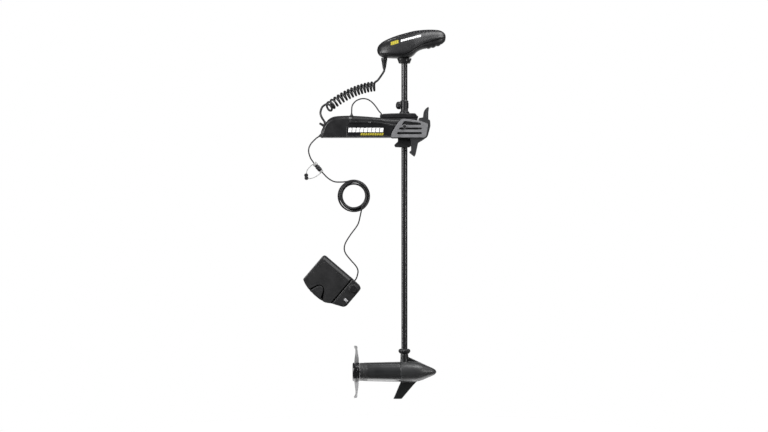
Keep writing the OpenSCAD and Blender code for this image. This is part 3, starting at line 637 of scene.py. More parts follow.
def head_lower_shell():
    rings = []
    for top, low, w, share in head_sections():
        edge = low.lerp(top, share)
        ring = []
        for i in range(-22, 23):
            a = i / 22 * pi / 2
            under = abs(cos(a))
            bump = 0
            if GRIP_BUMPS[0] < low.x < GRIP_BUMPS[1]:
                bump = 5.4 * abs(cos(pi * (low.x - BUMP_CREST) / BUMP_PITCH)) ** 0.7 - 3.4
            y = (w - min(1.8, w * 0.2)) * (abs(sin(a)) ** 0.8) * sign(i)
            point = edge.lerp(low, under ** 0.85)
            ring.append(point + Vector((0, y, -bump * under ** 2)))
        rings.append(ring)
    obj = add("head_lower_shell", *lofted(rings, closed=False, caps=False), look("head_lower"), sharp=60)
    modify(obj, "SOLIDIFY", thickness=HEAD_SHELL * MM, offset=-1)
    return stands_for(obj, "shaft", "head_lower")


def head_labels(shell):
    bar = dashes((-16, head_z + 93), (74, head_z + 117), 8.5, 9, gap=0.2, lean=0.3)
    badge = dashes((-60, head_z + 77), (-26, head_z + 87), 15, 4, gap=0.12, lean=0.3)
    for side, name in ((-1, "starboard"), (1, "port")):
        stands_for(decal(f"head_stripe_{name}", shell, side, bar, LABEL_WHITE), "shaft")
        stands_for(decal(f"head_badge_{name}", shell, side, badge, LABEL_YELLOW), "shaft")


CLAMP_BOLT = Vector((17, 0, 12))  # above the underside of the clamp


def head_clamp():
    low, high = box("head_clamp")
    r = (high.x - low.x) / 2
    cup = [(0, 14), (0, r - 9), (1.2, r - 7.4), (4, r - 6.4), (9, r - 4.5), (17, r - 1.2),
           (high.z - low.z, r), (high.z - low.z, 14)]
    wall = revolved(rounded(cup, 1.5), "z", (0, 0, low.z))
    bolt = CLAMP_BOLT + Vector((0, 0, low.z))
    boss = revolved(rounded([(-30.5, 0), (-30.5, 8), (-29, 9.5), (-15, 9.5), (-15, 0)], 1), "y", bolt, 48)
    nut = revolved(rounded([(15, 0), (15, 9.5), (27, 9.5), (28, 8), (28, 0)], 1), "y", bolt, 48)
    obj = fused("head_clamp_cup", merged(wall, boss, nut), look("head_clamp"), 0.9, 3)
    return stands_for(obj, "shaft", "head_clamp")


def clamp_screw():
    """The clamp's screw head: black, domed, with a hexagon socket."""
    dome = [(-24, 0), (-24, 5.6), (-31.2, 5.6), (-32.6, 4.6), (-33, 3), (-33, 2.9), (-30.4, 2.7), (-30.4, 0)]
    obj = add("clamp_screw_head", *revolved(dome, "y", CLAMP_BOLT + Vector((0, 0, head_z)), 48),
              LOOKS["channel_paint"])
    return stands_for(obj, "shaft")


def strain_relief():
    low, x = box("strain_relief")[0], middle("strain_relief").x
    bore, top, ribs, thin, thick = 4.6, head_z + 26, 6, 6.6, 13
    profile = [(low.z, bore), (low.z, bore + 1.2)]
    pitch = (top - 10 - low.z - 3) / ribs
    for i in range(ribs):
        z = low.z + 3 + pitch * i
        r = thin + (thick - thin) * (i + 1) / ribs
        profile += [(z, r - 1.6), (z + pitch * 0.28, r - 1.8), (z + pitch * 0.36, r),
                    (z + pitch * 0.9, r + 0.3)]
    profile += [(top - 9, 13.4), (top, 13.4), (top, bore)]
    return piece("strain_relief_boot", "shaft", "strain_relief",
                 revolved(rounded(profile, 0.6, 3), "z", (x, 0, 0), 64), crisp=False)


# ---- cords

CORD_R, CABLE_R, LEAD_R = 4.7, 3.0, 2.9
GLAND_R = 7


def cord_y():
    """The plane that the cords leave the mount in."""
    return box("cable_glands")[0].y + GLAND_R


COIL_TURNS, COIL_R, COIL_OPEN = 15, 18.5, 1.3  # the last turns swing round to face starboard
COIL_START, COIL_STEPS = 0.3, 30  # the turn at which the lead becomes the coil, and the steps of each turn
COIL_AXIS = [(-128, -6, 227), (-234, -14, 216), (-341, -26, 128)]  # ends and bend of the coil's own axis


def coil_point(t):
    """A point of the coil at t, from 0 beside the head to 1 at the mount."""
    a, b, c = (Vector(p) for p in COIL_AXIS)
    way = ((b - a).lerp(c - b, t).normalized() - Vector((0, COIL_OPEN * t ** 12, 0))).normalized()
    up = Vector((0, 1, 0)).cross(way).normalized()
    turn = tau * COIL_TURNS * t
    return a.lerp(b, t).lerp(b.lerp(c, t), t) + COIL_R * (cos(turn) * up + sin(turn) * way.cross(up))


def coiled_cord():
    """The coil rides on the mount. Its plain lead is made in three lengths, each over one joint, that ride on
    no body.
    """
    boot = box("strain_relief")[0].z
    first = coil_point(COIL_START / COIL_TURNS)
    lead = spline([(-89, 0, boot + 32), (-89, 0, boot - 2), (-93.5, -1, boot - 13), (-101, -2, boot - 25),
                   (-117, -3, boot - 47), coil_point(0.1 / COIL_TURNS), first], 8)
    y = cord_y()
    tail = spline([coil_point(1), (-362.5, -22, 134), (-369, -23, 118), (-370, -27, 103), (-363.3, y, 86),
                   (-352.5, y, 69.4), (-344, y, 54.7)], 10)
    steps = COIL_STEPS * COIL_TURNS
    coil = [coil_point(i / steps) for i in range(round(COIL_START * COIL_STEPS), steps + 1)]
    piece("coil_cord_coil", "mount", "coil_cord", tube(coil + tail[1:], CORD_R), sharp=80, crisp=False)
    for name, high, low, near, far in (("upper", 0, 16, "sleeve", "shaft"),
                                       ("middle", 16, 24, "steering_housing", "sleeve"),
                                       ("lower", 24, 48, "mount", "steering_housing")):
        obj = add("coil_cord_lead_" + name, *tube(lead[high:low + 1], CORD_R), look("coil_cord"), sharp=80)
        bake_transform(obj)
        stands_for(obj, None, "coil_cord")


def lead_loop():
    y = middle("lead_loop").y
    path = spline([(-233, y, 90), (-233, y, 108), (-230.5, y, 139), (-217, y, 158), (-199, y, 168),
                   (-180, y, 171), (-161, y, 167), (-143, y, 155), (-127, y, 137), (-114, y, 118),
                   (-103.5, y, 106), (-101.5, y, 98)], 8)
    obj = add("lead_loop_cord", *tube(path, LEAD_R), look("lead_loop"), sharp=80)
    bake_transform(obj)
    return stands_for(obj, None, "lead_loop")


def cable_glands():
    y = cord_y()
    parts = []
    for x, z, tilt, r, bore in ((-346.5, 59, -30, 7.2, CORD_R), (-366.7, 10, -120, 5.6, CABLE_R),
                                (-233, 93.4, 0, 5.6, LEAD_R)):
        profile = rounded([(-6, bore), (-6, r), (1.5, r), (1.5, r + 2.2), (4, r + 2.2), (4.5, r),
                           (7, r - 0.4),
                           (7.5, r - 1.2), (9, r - 1), (9.5, r - 1.4), (12, r - 1.6), (12, bore)], 0.5, 2)
        verts, faces = revolved(profile, "z", (0, 0, 0), 40)
        place = Matrix.Translation((x, y, z)) @ Matrix.Rotation(radians(tilt), 4, "Y")
        parts.append(([place @ v for v in verts], faces))
    return piece("cable_gland_boots", "mount", "cable_glands", *parts, crisp=False)


PLUG_WAY = Vector((26, 0, -30)).normalized()
RING_CENTRE = Vector((-222, -130, -258.5))
BUNDLE_TURNS, BUNDLE_R, BUNDLE_THICK = 7, 60, 8.5
BUNDLE_START, BUNDLE_END = 112, -52


def bundle_point(t):
    """The hanging bundle: each lap of the cable takes another place in the bundle's round section."""
    a = BUNDLE_START + (BUNDLE_END - 360 * BUNDLE_TURNS - BUNDLE_START) * t
    lap = radians((BUNDLE_START - a) / 360 * 132)
    r = BUNDLE_R + BUNDLE_THICK * cos(lap)
    return RING_CENTRE + Vector((r * cos(radians(a)), BUNDLE_THICK * sin(lap), r * sin(radians(a))))


def pedal_cable():
    y = cord_y()
    first = spline([(-362.4, y, 12.5), (-374.5, y, 5.5), (-392, y - 6, -7), (-414, -60, -33),
                    (-421, -88, -60), (-413, -112, -90), (-402.5, -128, -107), (-391, -130, -120.5)], 10)
    second = spline([(-366, -130, -149), (-356, -130, -160), (-335, -130, -181), (-308, -128, -196),
                     (-275, -126, -198), bundle_point(0)], 8)[:-1]
    second += [bundle_point(i / 60 / BUNDLE_TURNS) for i in range(60 * BUNDLE_TURNS + 1)]
    second += spline([bundle_point(1), (-194, -128, -345), (-205, -124, -384), (-235, -122, -426),
                      (-258, -122, -463), (-264, -122, -489), (-257, -122, -512), (-236, -122, -539),
                      (-213, -122, -565), (-204, -122, -586), (-207, -122, -607), on_pedal(176, 8, 22),
                      on_pedal(176, -7, 22)], 8)[1:]
    shape = merged(tube(first, CABLE_R, 12), tube(second, CABLE_R, 12))
    return piece("pedal_cable_cord", "mount", "pedal_cable", shape, sharp=80, crisp=False)


def turned_to(way, centre, shape):
    verts, faces = shape
    place = Matrix.Translation(centre) @ Vector((0, 0, 1)).rotation_difference(way).to_matrix().to_4x4()
    return [place @ v for v in verts], faces


PLUG_START, PLUG_END = Vector((-394, -130, -117)), Vector((-365.5, -130, -149.9))
CAPS = [Vector((-431, -126, -168.5)), Vector((-429.5, -137, -181))]


def cable_plugs():
    socket = rounded([(0, 3.6), (0, 7.6), (1, 8.4), (16, 8.4), (17, 7.6), (17, 3.6)], 0.6, 3)
    barrel = rounded([(17, 3.6), (17, 9.4), (18.2, 10.1), (25, 10.1), (25.8, 9.1), (27.4, 9.1), (28.2, 10.1),
                      (36, 10.1), (40, 8.4), (43, 7), (43, 3.6)], 0.6, 3)
    cap = rounded([(-5, 0), (-5, 7), (-3.8, 7.8), (2.5, 7.8), (2.5, 8.8), (4.4, 8.8), (5, 8), (5, 0)], 0.5, 3)
    grip = lambda a, t: -0.6 * abs(sin(9 * a)) ** 3
    cap_way = Vector((sin(radians(20)), -cos(radians(20)), 0))
    shape = merged(turned_to(PLUG_WAY, PLUG_START, revolved(socket, "z", (0, 0, 0), 60)),
                   turned_to(PLUG_WAY, PLUG_START, revolved(barrel, "z", (0, 0, 0), 72, grip)),
                   *(turned_to(cap_way, c, revolved(cap, "z", (0, 0, 0), 60, grip)) for c in CAPS))
    return piece("cable_plug_set", "mount", "cable_plugs", shape, crisp=False)


def cap_tethers():
    wide = rounded([(-3, 8.6), (-3, 10), (-1, 10.6), (8, 10.6), (10, 10), (10, 8.6)], 0.6, 4)
    narrow = rounded([(-2, 4), (-2, 7.6), (-0.6, 8.4), (6, 8.4), (7, 7.6), (7, 4)], 0.6, 4)
    parts = [turned_to(PLUG_WAY, PLUG_START, revolved(wide, "z", (0, 0, 0), 64)),
             turned_to(PLUG_WAY, PLUG_END, revolved(narrow, "z", (0, 0, 0), 64))]
    for path in ([(-403, -127, -121), (-417, -128, -134), (-427, -130, -148), CAPS[0] + Vector((2, 3, 7))],
                 [(-367, -131, -159), (-386, -136, -173), (-404, -140, -181), CAPS[1] + Vector((6, -3, -3))]):
        parts.append(tube(spline(path, 10), 1.7, 10))
    return piece("cap_tether_straps", "mount", "cap_tethers", *parts, crisp=False)


# ---- mount covers

COVER_WALL = 3
COVER_TOP = [(-370, 1.5), (-368, 21), (-361, 40), (-348, 60), (-338, 75), (-321, 87), (-299, 92.5),
             (-251, 95), (-216, 94), (-172, 91.5), (-132, 88), (-90, 85), (-20, 81)]
COVER_END = [(1, -59.7), (20.5, -57.7), (53, -38.7), (81, -20.2)]  # z and x of the end behind the side plate
LEDGE = [(-236, 70), (-143, 69), (-102, 65), (-72, 57.5), (-50, 53)]
PANEL_X, PANEL_LOW, PANEL_CORNER, RAIL = -254, 4, 25, 8
CHANNEL_END, CHANNEL_Y, LEVER_Y = -196, 38.9, 17


def cover_relief(x, z, side_top):
    """How far the cover's side stands in from its outermost plane."""
    edge = -364 + 0.49 * (z - max(0, z - 0.5 * side_top) ** 2 / side_top)
    inward = 0.02 * z + 1.0 * max(0, edge - x)
    inward += 1.6 * ease((x + 286) / 30)
    ledge = at(LEDGE, x)
    dx, dz = x - PANEL_X, ledge - RAIL - z
    corner = dx < PANEL_CORNER and dz < PANEL_CORNER
    inside = PANEL_CORNER - hypot(PANEL_CORNER - dx, PANEL_CORNER - dz) if corner else min(dx, dz)
    inward += 2.4 * ease(min(inside, z - PANEL_LOW) / 2.4 + 0.5)
    shelf = ease((x + 246) / 14) * ease((z - ledge) / 1.8 + 0.5)
    notch = ease((4 - abs(x + 154)) / 1.5) * ease((z - ledge + RAIL) / 2) * 2.2
    return inward + 3.6 * shelf + notch * (1 - shelf)


COVER_ROWS = (2, 34, 4, 4, 4, 8)  # rows of faces between the side's own lines, from its foot up


def cover_rows(x, side_top):
    """Heights of the grid's rows, so that the panel's edge and the ledge each lie along rows."""
    ledge = at(LEDGE, x)
    lines = (PANEL_LOW, ledge - RAIL - 1.2, ledge - RAIL + 1.2, ledge - 0.9, ledge + 0.9)
    shares = (0.05, 0.83, 0.87, 0.945, 0.97)
    keys = [1] + [min(z, 1 + (side_top - 1) * f) for z, f in zip(lines, shares)] + [side_top]
    heights = [a + (b - a) * i / n for a, b, n in zip(keys, keys[1:], COVER_ROWS) for i in range(n)]
    return heights + [side_top]


def cover_grid():
    """Rows of points over the port cover, each from the foot of its side to the centre line."""
    half = box("port_cover")[1].y
    outline = spline(COVER_TOP, 22)
    rows = []
    for x0, top in outline:
        top = max(top, 4)
        round_r = min(20, 0.42 * top)
        if x0 > PANEL_X:
            round_r = min(round_r, top - at(LEDGE, x0) - 4)
        row = []
        for z in cover_rows(x0, top - round_r):
            x = x0 + (at(COVER_END, z) - at(COVER_END, 81)) * ease((x0 + 150) / 130)
            row.append((x, half - cover_relief(x, z, top - round_r), z))
        y0 = row[-1][1]
        for i in range(1, 15):
            a = pi / 2 * i / 14
            row.append((x0, y0 - round_r * (1 - cos(a)), top - round_r + round_r * sin(a)))
        y1 = row[-1][1]
        stops = [y1 + (CHANNEL_Y - y1) * i / 5 for i in range(1, 6)] + [30, 23, LEVER_Y, 8, 0.3]
        row += [(x0, y, top + 0.4 * (1 - (y / y1) ** 2)) for y in stops]
        rows.append(row)
    return rows


def label_field(c, _):
    """1 where the cover's side is the black field of its label."""
    return 1 if c.x > -246 and PANEL_LOW < c.z < at(LEDGE, c.x) - RAIL and abs(c.y) > 60 else 0


def cover(name, node, side):
    rows = cover_grid()
    n = len(rows[0])
    verts, faces = lofted([[Vector((x, side * y, z)) for x, y, z in row] for row in rows], closed=False,
                          caps=False)
    kept = []
    for face in faces:
        c = sum((verts[i] for i in face), Vector()) / 4
        channel = c.x > CHANNEL_END and abs(c.y) < CHANNEL_Y
        slot_for_lever = abs(c.y) < LEVER_Y and 33 < c.z < 78 and c.x < -320
        if not channel and not slot_for_lever:
            kept.append(face)
    skin = add(name, verts, kept, [look(node), LABEL_BLACK], sharp=60, paint=label_field)
    modify(skin, "SOLIDIFY", thickness=COVER_WALL * MM, offset=-1)
    stands_for(skin, "mount", node)
    wall = [(x, z) for x, z in spline(COVER_TOP, 8) if x > CHANNEL_END]
    wall += [(-57.7, 20.5), (-59.7, 1), (CHANNEL_END, 1)]
    wall = [(x, z - 0.6 if z > 2 else z) for x, z in wall]
    inner = slab([wall], *sorted((-side * CHANNEL_Y, -side * (CHANNEL_Y + COVER_WALL))), 0.4)
    top = at(COVER_TOP, CHANNEL_END)
    low, high = sorted((side * 0.4, side * 42))
    bulkhead = block((CHANNEL_END - COVER_WALL, low, 1), (CHANNEL_END, high, top), 0.5)
    walls = even(add(name + "_walls", *merged(inner, bulkhead), look(node)))
    stands_for(walls, "mount")
    return skin


def cover_labels(skin, side, name):
    white = dashes((-248, 22), (-92, 22), 19, 9, gap=0.16, lean=0.12)
    yellow = dashes((-194, 8), (-92, 8), 10.5, 10, gap=0.2, lean=0.25)
    stands_for(decal(f"cover_stripe_{name}", skin, side, white, LABEL_WHITE), "mount")
    stands_for(decal(f"cover_stripe_low_{name}", skin, side, yellow, LABEL_YELLOW), "mount")


# ---- side plates, ramps and lever

PLATE = [(-58.5, -2), (-57, 17), (-37, 52), (-17, 77), (-4, 80.5), (38, 76), (70, 70), (101, 59), (103.5, 52),
         (95, 4), (87, -2)]
PLATE_SLOTS = [[(-12, 53), (74, 53), (72, 62), (4, 70), (-4, 68)],
               [(-27, 33), (74, 33), (76, 37), (74, 41.5), (-21, 41.5)],
               [(-34, 12), (74, 12), (77, 17), (74, 21.5), (-31, 21.5)], ]
RAMP = [(104, 133.5), (92.5, 125), (85.5, 115), (82, 87), (62, 84), (62, -1), (24, -1), (29, -18), (30, -57),
        (21, -65), (45, -84), (49, -76), (60, -23), (85, -8), (102, 4), (108, 26), (114, 49), (112.5, 75),
        (104.5, 78), (105, 112), (107.5, 129)]


def side_plate(name, node, side):
    high = box("port_side_plate")[1]
    latch_z = middle("latch_pin").z
    holes = [rounded(s, 4, 4) for s in PLATE_SLOTS] + [circle((0, latch_z), 5.2)]
    outer, inner = side * high.y, side * (high.y - 6)
    face = slab([rounded(PLATE, 5, 5)] + holes, *sorted((-outer, -inner)), 1.4)
    washer = slab([circle((0, latch_z), 9, 40), circle((0, latch_z), 5.2)],
                  *sorted((-outer - side * 0.1, -inner)), 0.1)
    foot = block((-38, min(side * 54, side * (high.y - 5)), 6.1),
                 (57, max(side * 54, side * (high.y - 5)), 10), 1.0)
    piece(name, "mount", node, face, washer, foot)
    # painted shade: a black sheet just behind the plate's slots, standing in for the shade inside them
    shade = [(-50, 10.5), (-30, 55), (-8, 74), (30, 72), (61.6, 66), (61.6, 10.5)]
    back = slab([shade, circle((0, latch_z), 5.6)], *sorted((-side * (high.y - 7.4), -side * (high.y - 6.4))),
                0.3)
    slot_shade = stands_for(add(name + "_liner", *back, LOOKS["black_plastic"]), "mount")


def ramp(name, side):
    low, high = box("port_ramp")
    edges = sorted((-side * high.y, -side * low.y))
    body = slab([rounded(RAMP, 4, 4)], *edges, 0.9)
    post = slab([rounded([(103.4, 130), (97, 124), (95.5, 84), (103.6, 82), (104, 112)], 2.5)],
                edges[0] - 1.6, edges[1] + 1.6, 1.4)
    return piece(name + "_arm", "mount", name, body, post)


def release_lever():
    low, high = box("release_lever")
    outline = rounded([(-332, 36), (-338, 49.5), (-365, 63.5), (-374, 67), (-377, 59), (-367, 52.5),
                       (-344, 36)], 2.5, 4)
    arm = slab([outline], -14, 14, 2)
    grips = [block((x - 0.8, -12, z), (x + 0.8, 12, z + 2), 0.6) for x,
             z in ((-356, 57.7), (-361, 60.2), (-366, 62.6))]
    pin = revolved(rounded([(low.y, 0), (low.y, 3), (high.y, 3), (high.y, 0)], 0.6), "y", (-338, 0, 42), 32)
    return piece("release_lever_arm", "release_lever", "release_lever", arm, pin, *grips)


# ---- gearbox lid, collar and knob

LID = [(-104, 84.2), (-109, 91), (-107, 102), (-60, 105.6), (-6, 107), (48, 106.5), (60, 92), (60, 84.2)]


def gearbox_cover():
    low, high = box("gearbox_cover")
    r = box("sleeve_bushings")[1].x
    shell = slab([rounded(LID, 4, 5)], low.y, high.y, 4.5, steps=5)
    rib = slab([rounded([(-96, 96), (-96, 104.6), (-60, 106.6), (-24, 107.4), (-24, 98)], 2.5)], -16, 16, 2.5)
    pad = slab([rounded([(24, 96), (24, 107.4), (46, 107.3), (54, 99), (50, 94)], 2.5)], -20, 20, 2)
    collar = revolved(rounded([(98, r), (98, r + 4), (109.6, r + 3), (109.6, r)], 1.2), "z", (0, 0, 0))
    band = slab([rounded([(-106, 90.4), (-106, 93), (60.6, 93), (60.6, 90.4)], 0.8)], low.y - 0.15,
                high.y + 0.15, 0.1)
    return piece("gearbox_lid", "steering_housing", "gearbox_cover", shell, rib, pad, collar, band)


def depth_collar():
    low, high = box("depth_collar")
    z = middle("collar_knob").z
    bore, r = 13.6, high.y
    foot = box("drive_sleeve")[1].x
    profile = [(low.z - 1.6, foot), (low.z - 1.6, foot + 1.4), (low.z + 2.5, foot + 1.2), (low.z + 6, r),
               (high.z - 7, r), (high.z - 6, r + 1.4), (high.z - 2, r + 1.4), (high.z, r), (high.z, bore),
               (low.z, bore), (low.z, foot)]
    ring = revolved(rounded(profile, 0.7, 4), "z", (0, 0, 0))
    boss = revolved(rounded([(-25, 4.2), (-25, 8.6), (-23.5, 9.4), (-14, 9.4), (-14, 4.2)], 0.8), "x",
                    (0, 0, z), 48)
    ears = [block((12, s * 4 - 2.4, z - 13), (18.5, s * 4 + 2.4, z + 13), 1.6) for s in (-1, 1)]
    return piece("depth_collar_body", "sleeve", "depth_collar", ring, boss, *ears)


def collar_knob():
    low, high = box("collar_knob")
    z, r = middle("collar_knob").z, (high.z - low.z) / 2
    lobes = scallops(2.2, 7, low.x + 2, 5)
    profile = [(low.x, 0), (low.x + 0.2, 6), (low.x + 2.4, 11.5), (low.x + 6, r - 1.8), (low.x + 11, r),
               (-18, r - 0.4), (-17, r - 1.6), (-17, 10.4), (-26.5, 10), (-27, 4), (-14.5, 4), (-14.5, 0)]
    return piece("collar_knob_grip", "collar_knob", "collar_knob",
                 revolved(rounded(profile, 1.4, 5), "x", (0, 0, z), 126, lobes), crisp=False)


# ---- motor pod

pod_z = joint_at("prop_spin").z
hub_low, hub_high = box("propeller")
NOSE = [(-18, 0), (-18, 44.2), (-16.5, 45.4), (-12, 45.9), (2, 46), (25, 45), (52, 43), (75, 37.6),
        (91, 31.2), (111, 22.6), (122, 18), (131, 13.4), (137.5, 8), (140.3, 3.6), (141, 0)]


def neck_nut():
    low, high = box("neck_nut")
    r = high.x
    profile = [(low.z, 13.6), (low.z, r - 9), (low.z + 2, r - 6.5), (low.z + 5.5, r - 3),
               (low.z + 9, r - 0.7), (low.z + 12.5, r), (high.z - 6.5, r - 0.3), (high.z - 3, r - 2.6),
               (high.z - 0.8, r - 6), (high.z, r - 9), (high.z, 13.6)]
    lobes = scallops(2.4, 12, low.z + 2, 4)
    return piece("neck_nut_ring", "shaft", "neck_nut",
                 revolved(rounded(profile, 2, 5), "z", (0, 0, 0), 144, lobes), crisp=False)


def fin(rows):
    """A streamlined blade; each row is a height, a front x, a back x and a half thickness."""
    rings = []
    for z, front, back, t in rows:
        ring = []
        for i in range(32):
            a = tau * i / 32
            c = cos(a)
            x = (front + back) / 2 + (front - back) / 2 * (abs(c) ** 0.9 * (1 if c > 0 else -1))
            ring.append(Vector((x, t * sin(a) * (0.8 + 0.2 * c), pod_z + z)))
        rings.append(ring)
    return lofted(rings)


def nose_housing():
    top = box("neck_nut")[0].z
    body = revolved([(x, r) for x, r in spline(NOSE[3:], 4)] + [(-18, 0), *NOSE[1:3]], "x", (0, 0, pod_z),
                    128)
    neck = revolved(rounded([(pod_z, 0), (pod_z, 19.5), (pod_z + 46, 18.6), (pod_z + 56, 17.6),
                             (top - 0.2, 17.3), (top - 0.2, 0)], 4), "z", (0, 0, 0), 96)
    brow = fin([(0, 138, -14, 5), (16, 126.5, -14, 5), (28, 100, -12, 4.6), (42, 70, -10, 4.4),
                (55, 42, -8, 4.2), (67, 16, -6, 4)])
    skeg = fin([(-28, 60, -16, 7), (-44, 54, -16.5, 5.4), (-60, 39, -24, 4.9), (-80, 22, -32.5, 4.6),
                (-100, 5, -41, 4.3), (-118.4, -10.5, -49, 3.9), (-120, -13, -48.5, 3)])
    obj = fused("nose_casting", merged(body, neck, brow, skeg), look("nose_housing"), 1.15, 5)
    obj.data.materials.append(FIN_PAINTED_SHADE)
    # faces outside the round body (brow, skeg and neck) take the darker paint, which is painted shade
    for face in obj.data.polygons:
        c = face.center / MM
        shell = at(NOSE[1:], c.x) + 1.5
        face.material_index = 1 if hypot(c.y, c.z - pod_z) > shell else 0
    return stands_for(obj, "shaft", "nose_housing")


def end_cap():
    low, high = box("end_cap")
    r = high.y
    profile = [(low.x, 6.6), (low.x, r - 2.2), (low.x + 0.8, r - 1.4), (low.x + 13, r - 1),
               (low.x + 13.6, r - 2), (low.x + 15, r - 2), (low.x + 15.6, r - 0.6), (high.x - 14, r - 0.2),
               (high.x - 6.2, r), (high.x - 6.2, r - 4), (high.x, r - 4), (high.x, 6.6)]
    return piece("end_cap_shell", "shaft", "end_cap",
                 revolved(rounded(profile, 0.8, 4), "x", (0, 0, pod_z), 128), crisp=False)


BLADE_ROOT, BLADE_ROWS, BLADE_END = 34, 46, 0.94  # the blade rounds off from this share of its length


def blade(way):
    """One propeller blade: twisted, cambered and swept back at its tip."""
    tip = hub_high.z - pod_z
    centre = (hub_low.x + hub_high.x) / 2 + 2
    rings = []
    for i in range(BLADE_ROWS + 1):
        s = i / BLADE_ROWS
        r = BLADE_ROOT + (tip - BLADE_ROOT) * s
        close = (1 - 0.9 * (max(0, s - BLADE_END) / (1 - BLADE_END)) ** 2) ** 0.5
        half = (21 + 9 * sin(radians(150 * s)) - 13 * s ** 4) * close
        thick = (3.2 - 1.8 * s) * close
        q = radians(90 - (24 - 15 * ease(s / 0.7) + 20 * ease((s - 0.78) / 0.22)))
        ring = []
        for k in range(32):
            a = tau * k / 32
            along = half * cos(a)
            across = thick * sin(a) * (1 - 0.35 * cos(a)) - half * half / 500 * (cos(a) ** 2 - 0.5)
            x = centre - 7 * s ** 8 + along * cos(q) - across * sin(q)
            y = along * sin(q) + across * cos(q)
            ring.append(Vector((x, way * y, pod_z + way * r)))
        rings.append(ring)
    return lofted(rings)


def propeller():
    r = hub_high.y
    back, front = hub_low.x, box("end_cap")[0].x - 1
    profile = [(back, 15), (back + 12, 15), (back + 12, 5.2), (front - 7, 5.2), (front - 7, 30), (front, 31),
               (front, r - 1.4), (front - 0.8, r - 0.5), (front - 9, r), (front - 9.8, r - 0.9),
               (front - 10.6, r), (back + 8, r), (back + 3, r - 1), (back + 0.8, r - 3), (back, r - 6)]
    hub = revolved(rounded(profile, 1.2, 4), "x", (0, 0, pod_z), 128)
    obj = add("propeller_hub", *hub, GLOSS_PANEL)
    stands_for(obj, "rotor", "propeller")
    return piece("propeller_blades", "rotor", "propeller", blade(1), blade(-1), sharp=70, crisp=False)


# ---- foot pedal

pedal_u = Vector(joint["foot_plate_rock"]["axis"])
pedal_v = Vector((-pedal_u.z, 0, pedal_u.x))
pedal_corner = joint_at("foot_plate_rock") - 76 * pedal_u + 80 * pedal_v + Vector((0, 30, 0))
PEDAL = Matrix((
    (pedal_u.x, pedal_v.x, 0, pedal_corner.x), (0, 0, -1, pedal_corner.y),
    (pedal_u.z, pedal_v.z, 0, pedal_corner.z), (0, 0, 0, 1)))  # u and v across the pedal, w off its underside
PEDAL_CORNER = [(12 - 12 * cos(a), -12 + 12 * sin(a)) for a in (radians(15 * i) for i in range(7))]
PEDAL_OUTLINE = [*PEDAL_CORNER, (166, 0), (206, -3), (217, -9), (221, -20), (221, -108), (214, -120),
                 (166, -142), (140, -157), (114, -163), (82, -164), (48, -160), (20, -152), (0, -142)]
PLATE_END, DIAL, SWITCH = 160, (195, -32), (203, -90)
BUTTON = [(55, -161.5), (70, -120), (78, -114), (90, -114), (98, -120), (116, -161)]
BUTTON_GAP = [(50.5, -164), (66.5, -118), (76, -111), (92, -111), (101.5, -118), (120.5, -164.5)]


def on_pedal(u, v, w):
    return (PEDAL @ Vector((u, v, w, 1))).to_3d()


def oblong(u, v, half_u, half_v):
    return corners(u - half_u, v - half_v, u + half_u, v + half_v)


def drawn_in(outline, inset):
    """Each point of a counter-clockwise outline, with the place that it moves to."""
    for i, q in enumerate(outline):
        way = outline[(i + 1) % len(outline)] - outline[i - 1]
        yield q, q + Vector((-way.y, way.x)).normalized() * inset


def pedal_slab(outlines, low, high, edge, steps=3):
    return slab(outlines, low, high, edge, PEDAL, steps)


def pedal_disc(centre, profile, steps=64, lobes=None):
    verts, faces = revolved(profile, "z", (*centre, 0), steps, lobes)
    return [(PEDAL @ v.to_4d()).to_3d() for v in verts], faces


def pedal_pillow(outline, levels, reach=40):
    """A closed piece over the outline. Its levels are (w, inset, more inset at the upper and left edges)."""
    rings = []
    for w, inset, more in levels:
        ring = []
        for q, moved in drawn_in(outline, inset):
            slope = Vector((0.4 * max(0, reach - q.x), -max(0, q.y + reach))) * more / reach
            ring.append(on_pedal(*(moved + slope), w))
        rings.append(ring)
    return lofted(rings)


def pedal_base():
    outline = rounded(PEDAL_OUTLINE, 5, 4)
    end = [(PLATE_END + 5, 0), (206, -2), (219, -9), (221, -20), (221, -108), (214, -120),
           (PLATE_END + 5, -142.3)]
    tray = pedal_slab([outline], 0, 18, 1.5)
    housing = pedal_slab([rounded(end, 9, 6)], 1, 44, 4, 4)
    panel = pedal_slab([rounded([(172, -12), (208, -12), (214, -22), (214, -106), (206, -116), (172, -126)],
                                4)], 40, 44.8, 0.6)
    ears = [pedal_slab([rounded(oblong(x, -80, 5, 6), 1)], 17, 36, 1) for x in (26, 126)]
    ring = pedal_disc(DIAL, rounded([(43, 15), (43, 21), (45.4, 20), (46.2, 18.6), (46.2, 15)], 0.6))
    well = pedal_slab([rounded(oblong(*SWITCH, 12, 14), 2), rounded(oblong(*SWITCH, 10.5, 12), 2)], 43.6, 46,
                      0.5)
    marks = [pedal_slab([oblong(DIAL[0] + 22 * cos(a), DIAL[1] + 22 * sin(a), 0.5, 0.5)], 44, 45.2, 0.1)
             for a in (radians(200 + 32 * i) for i in range(6))]
    return piece("pedal_body", "mount", "pedal_base", tray, housing, panel, ring, well, *marks, *ears)


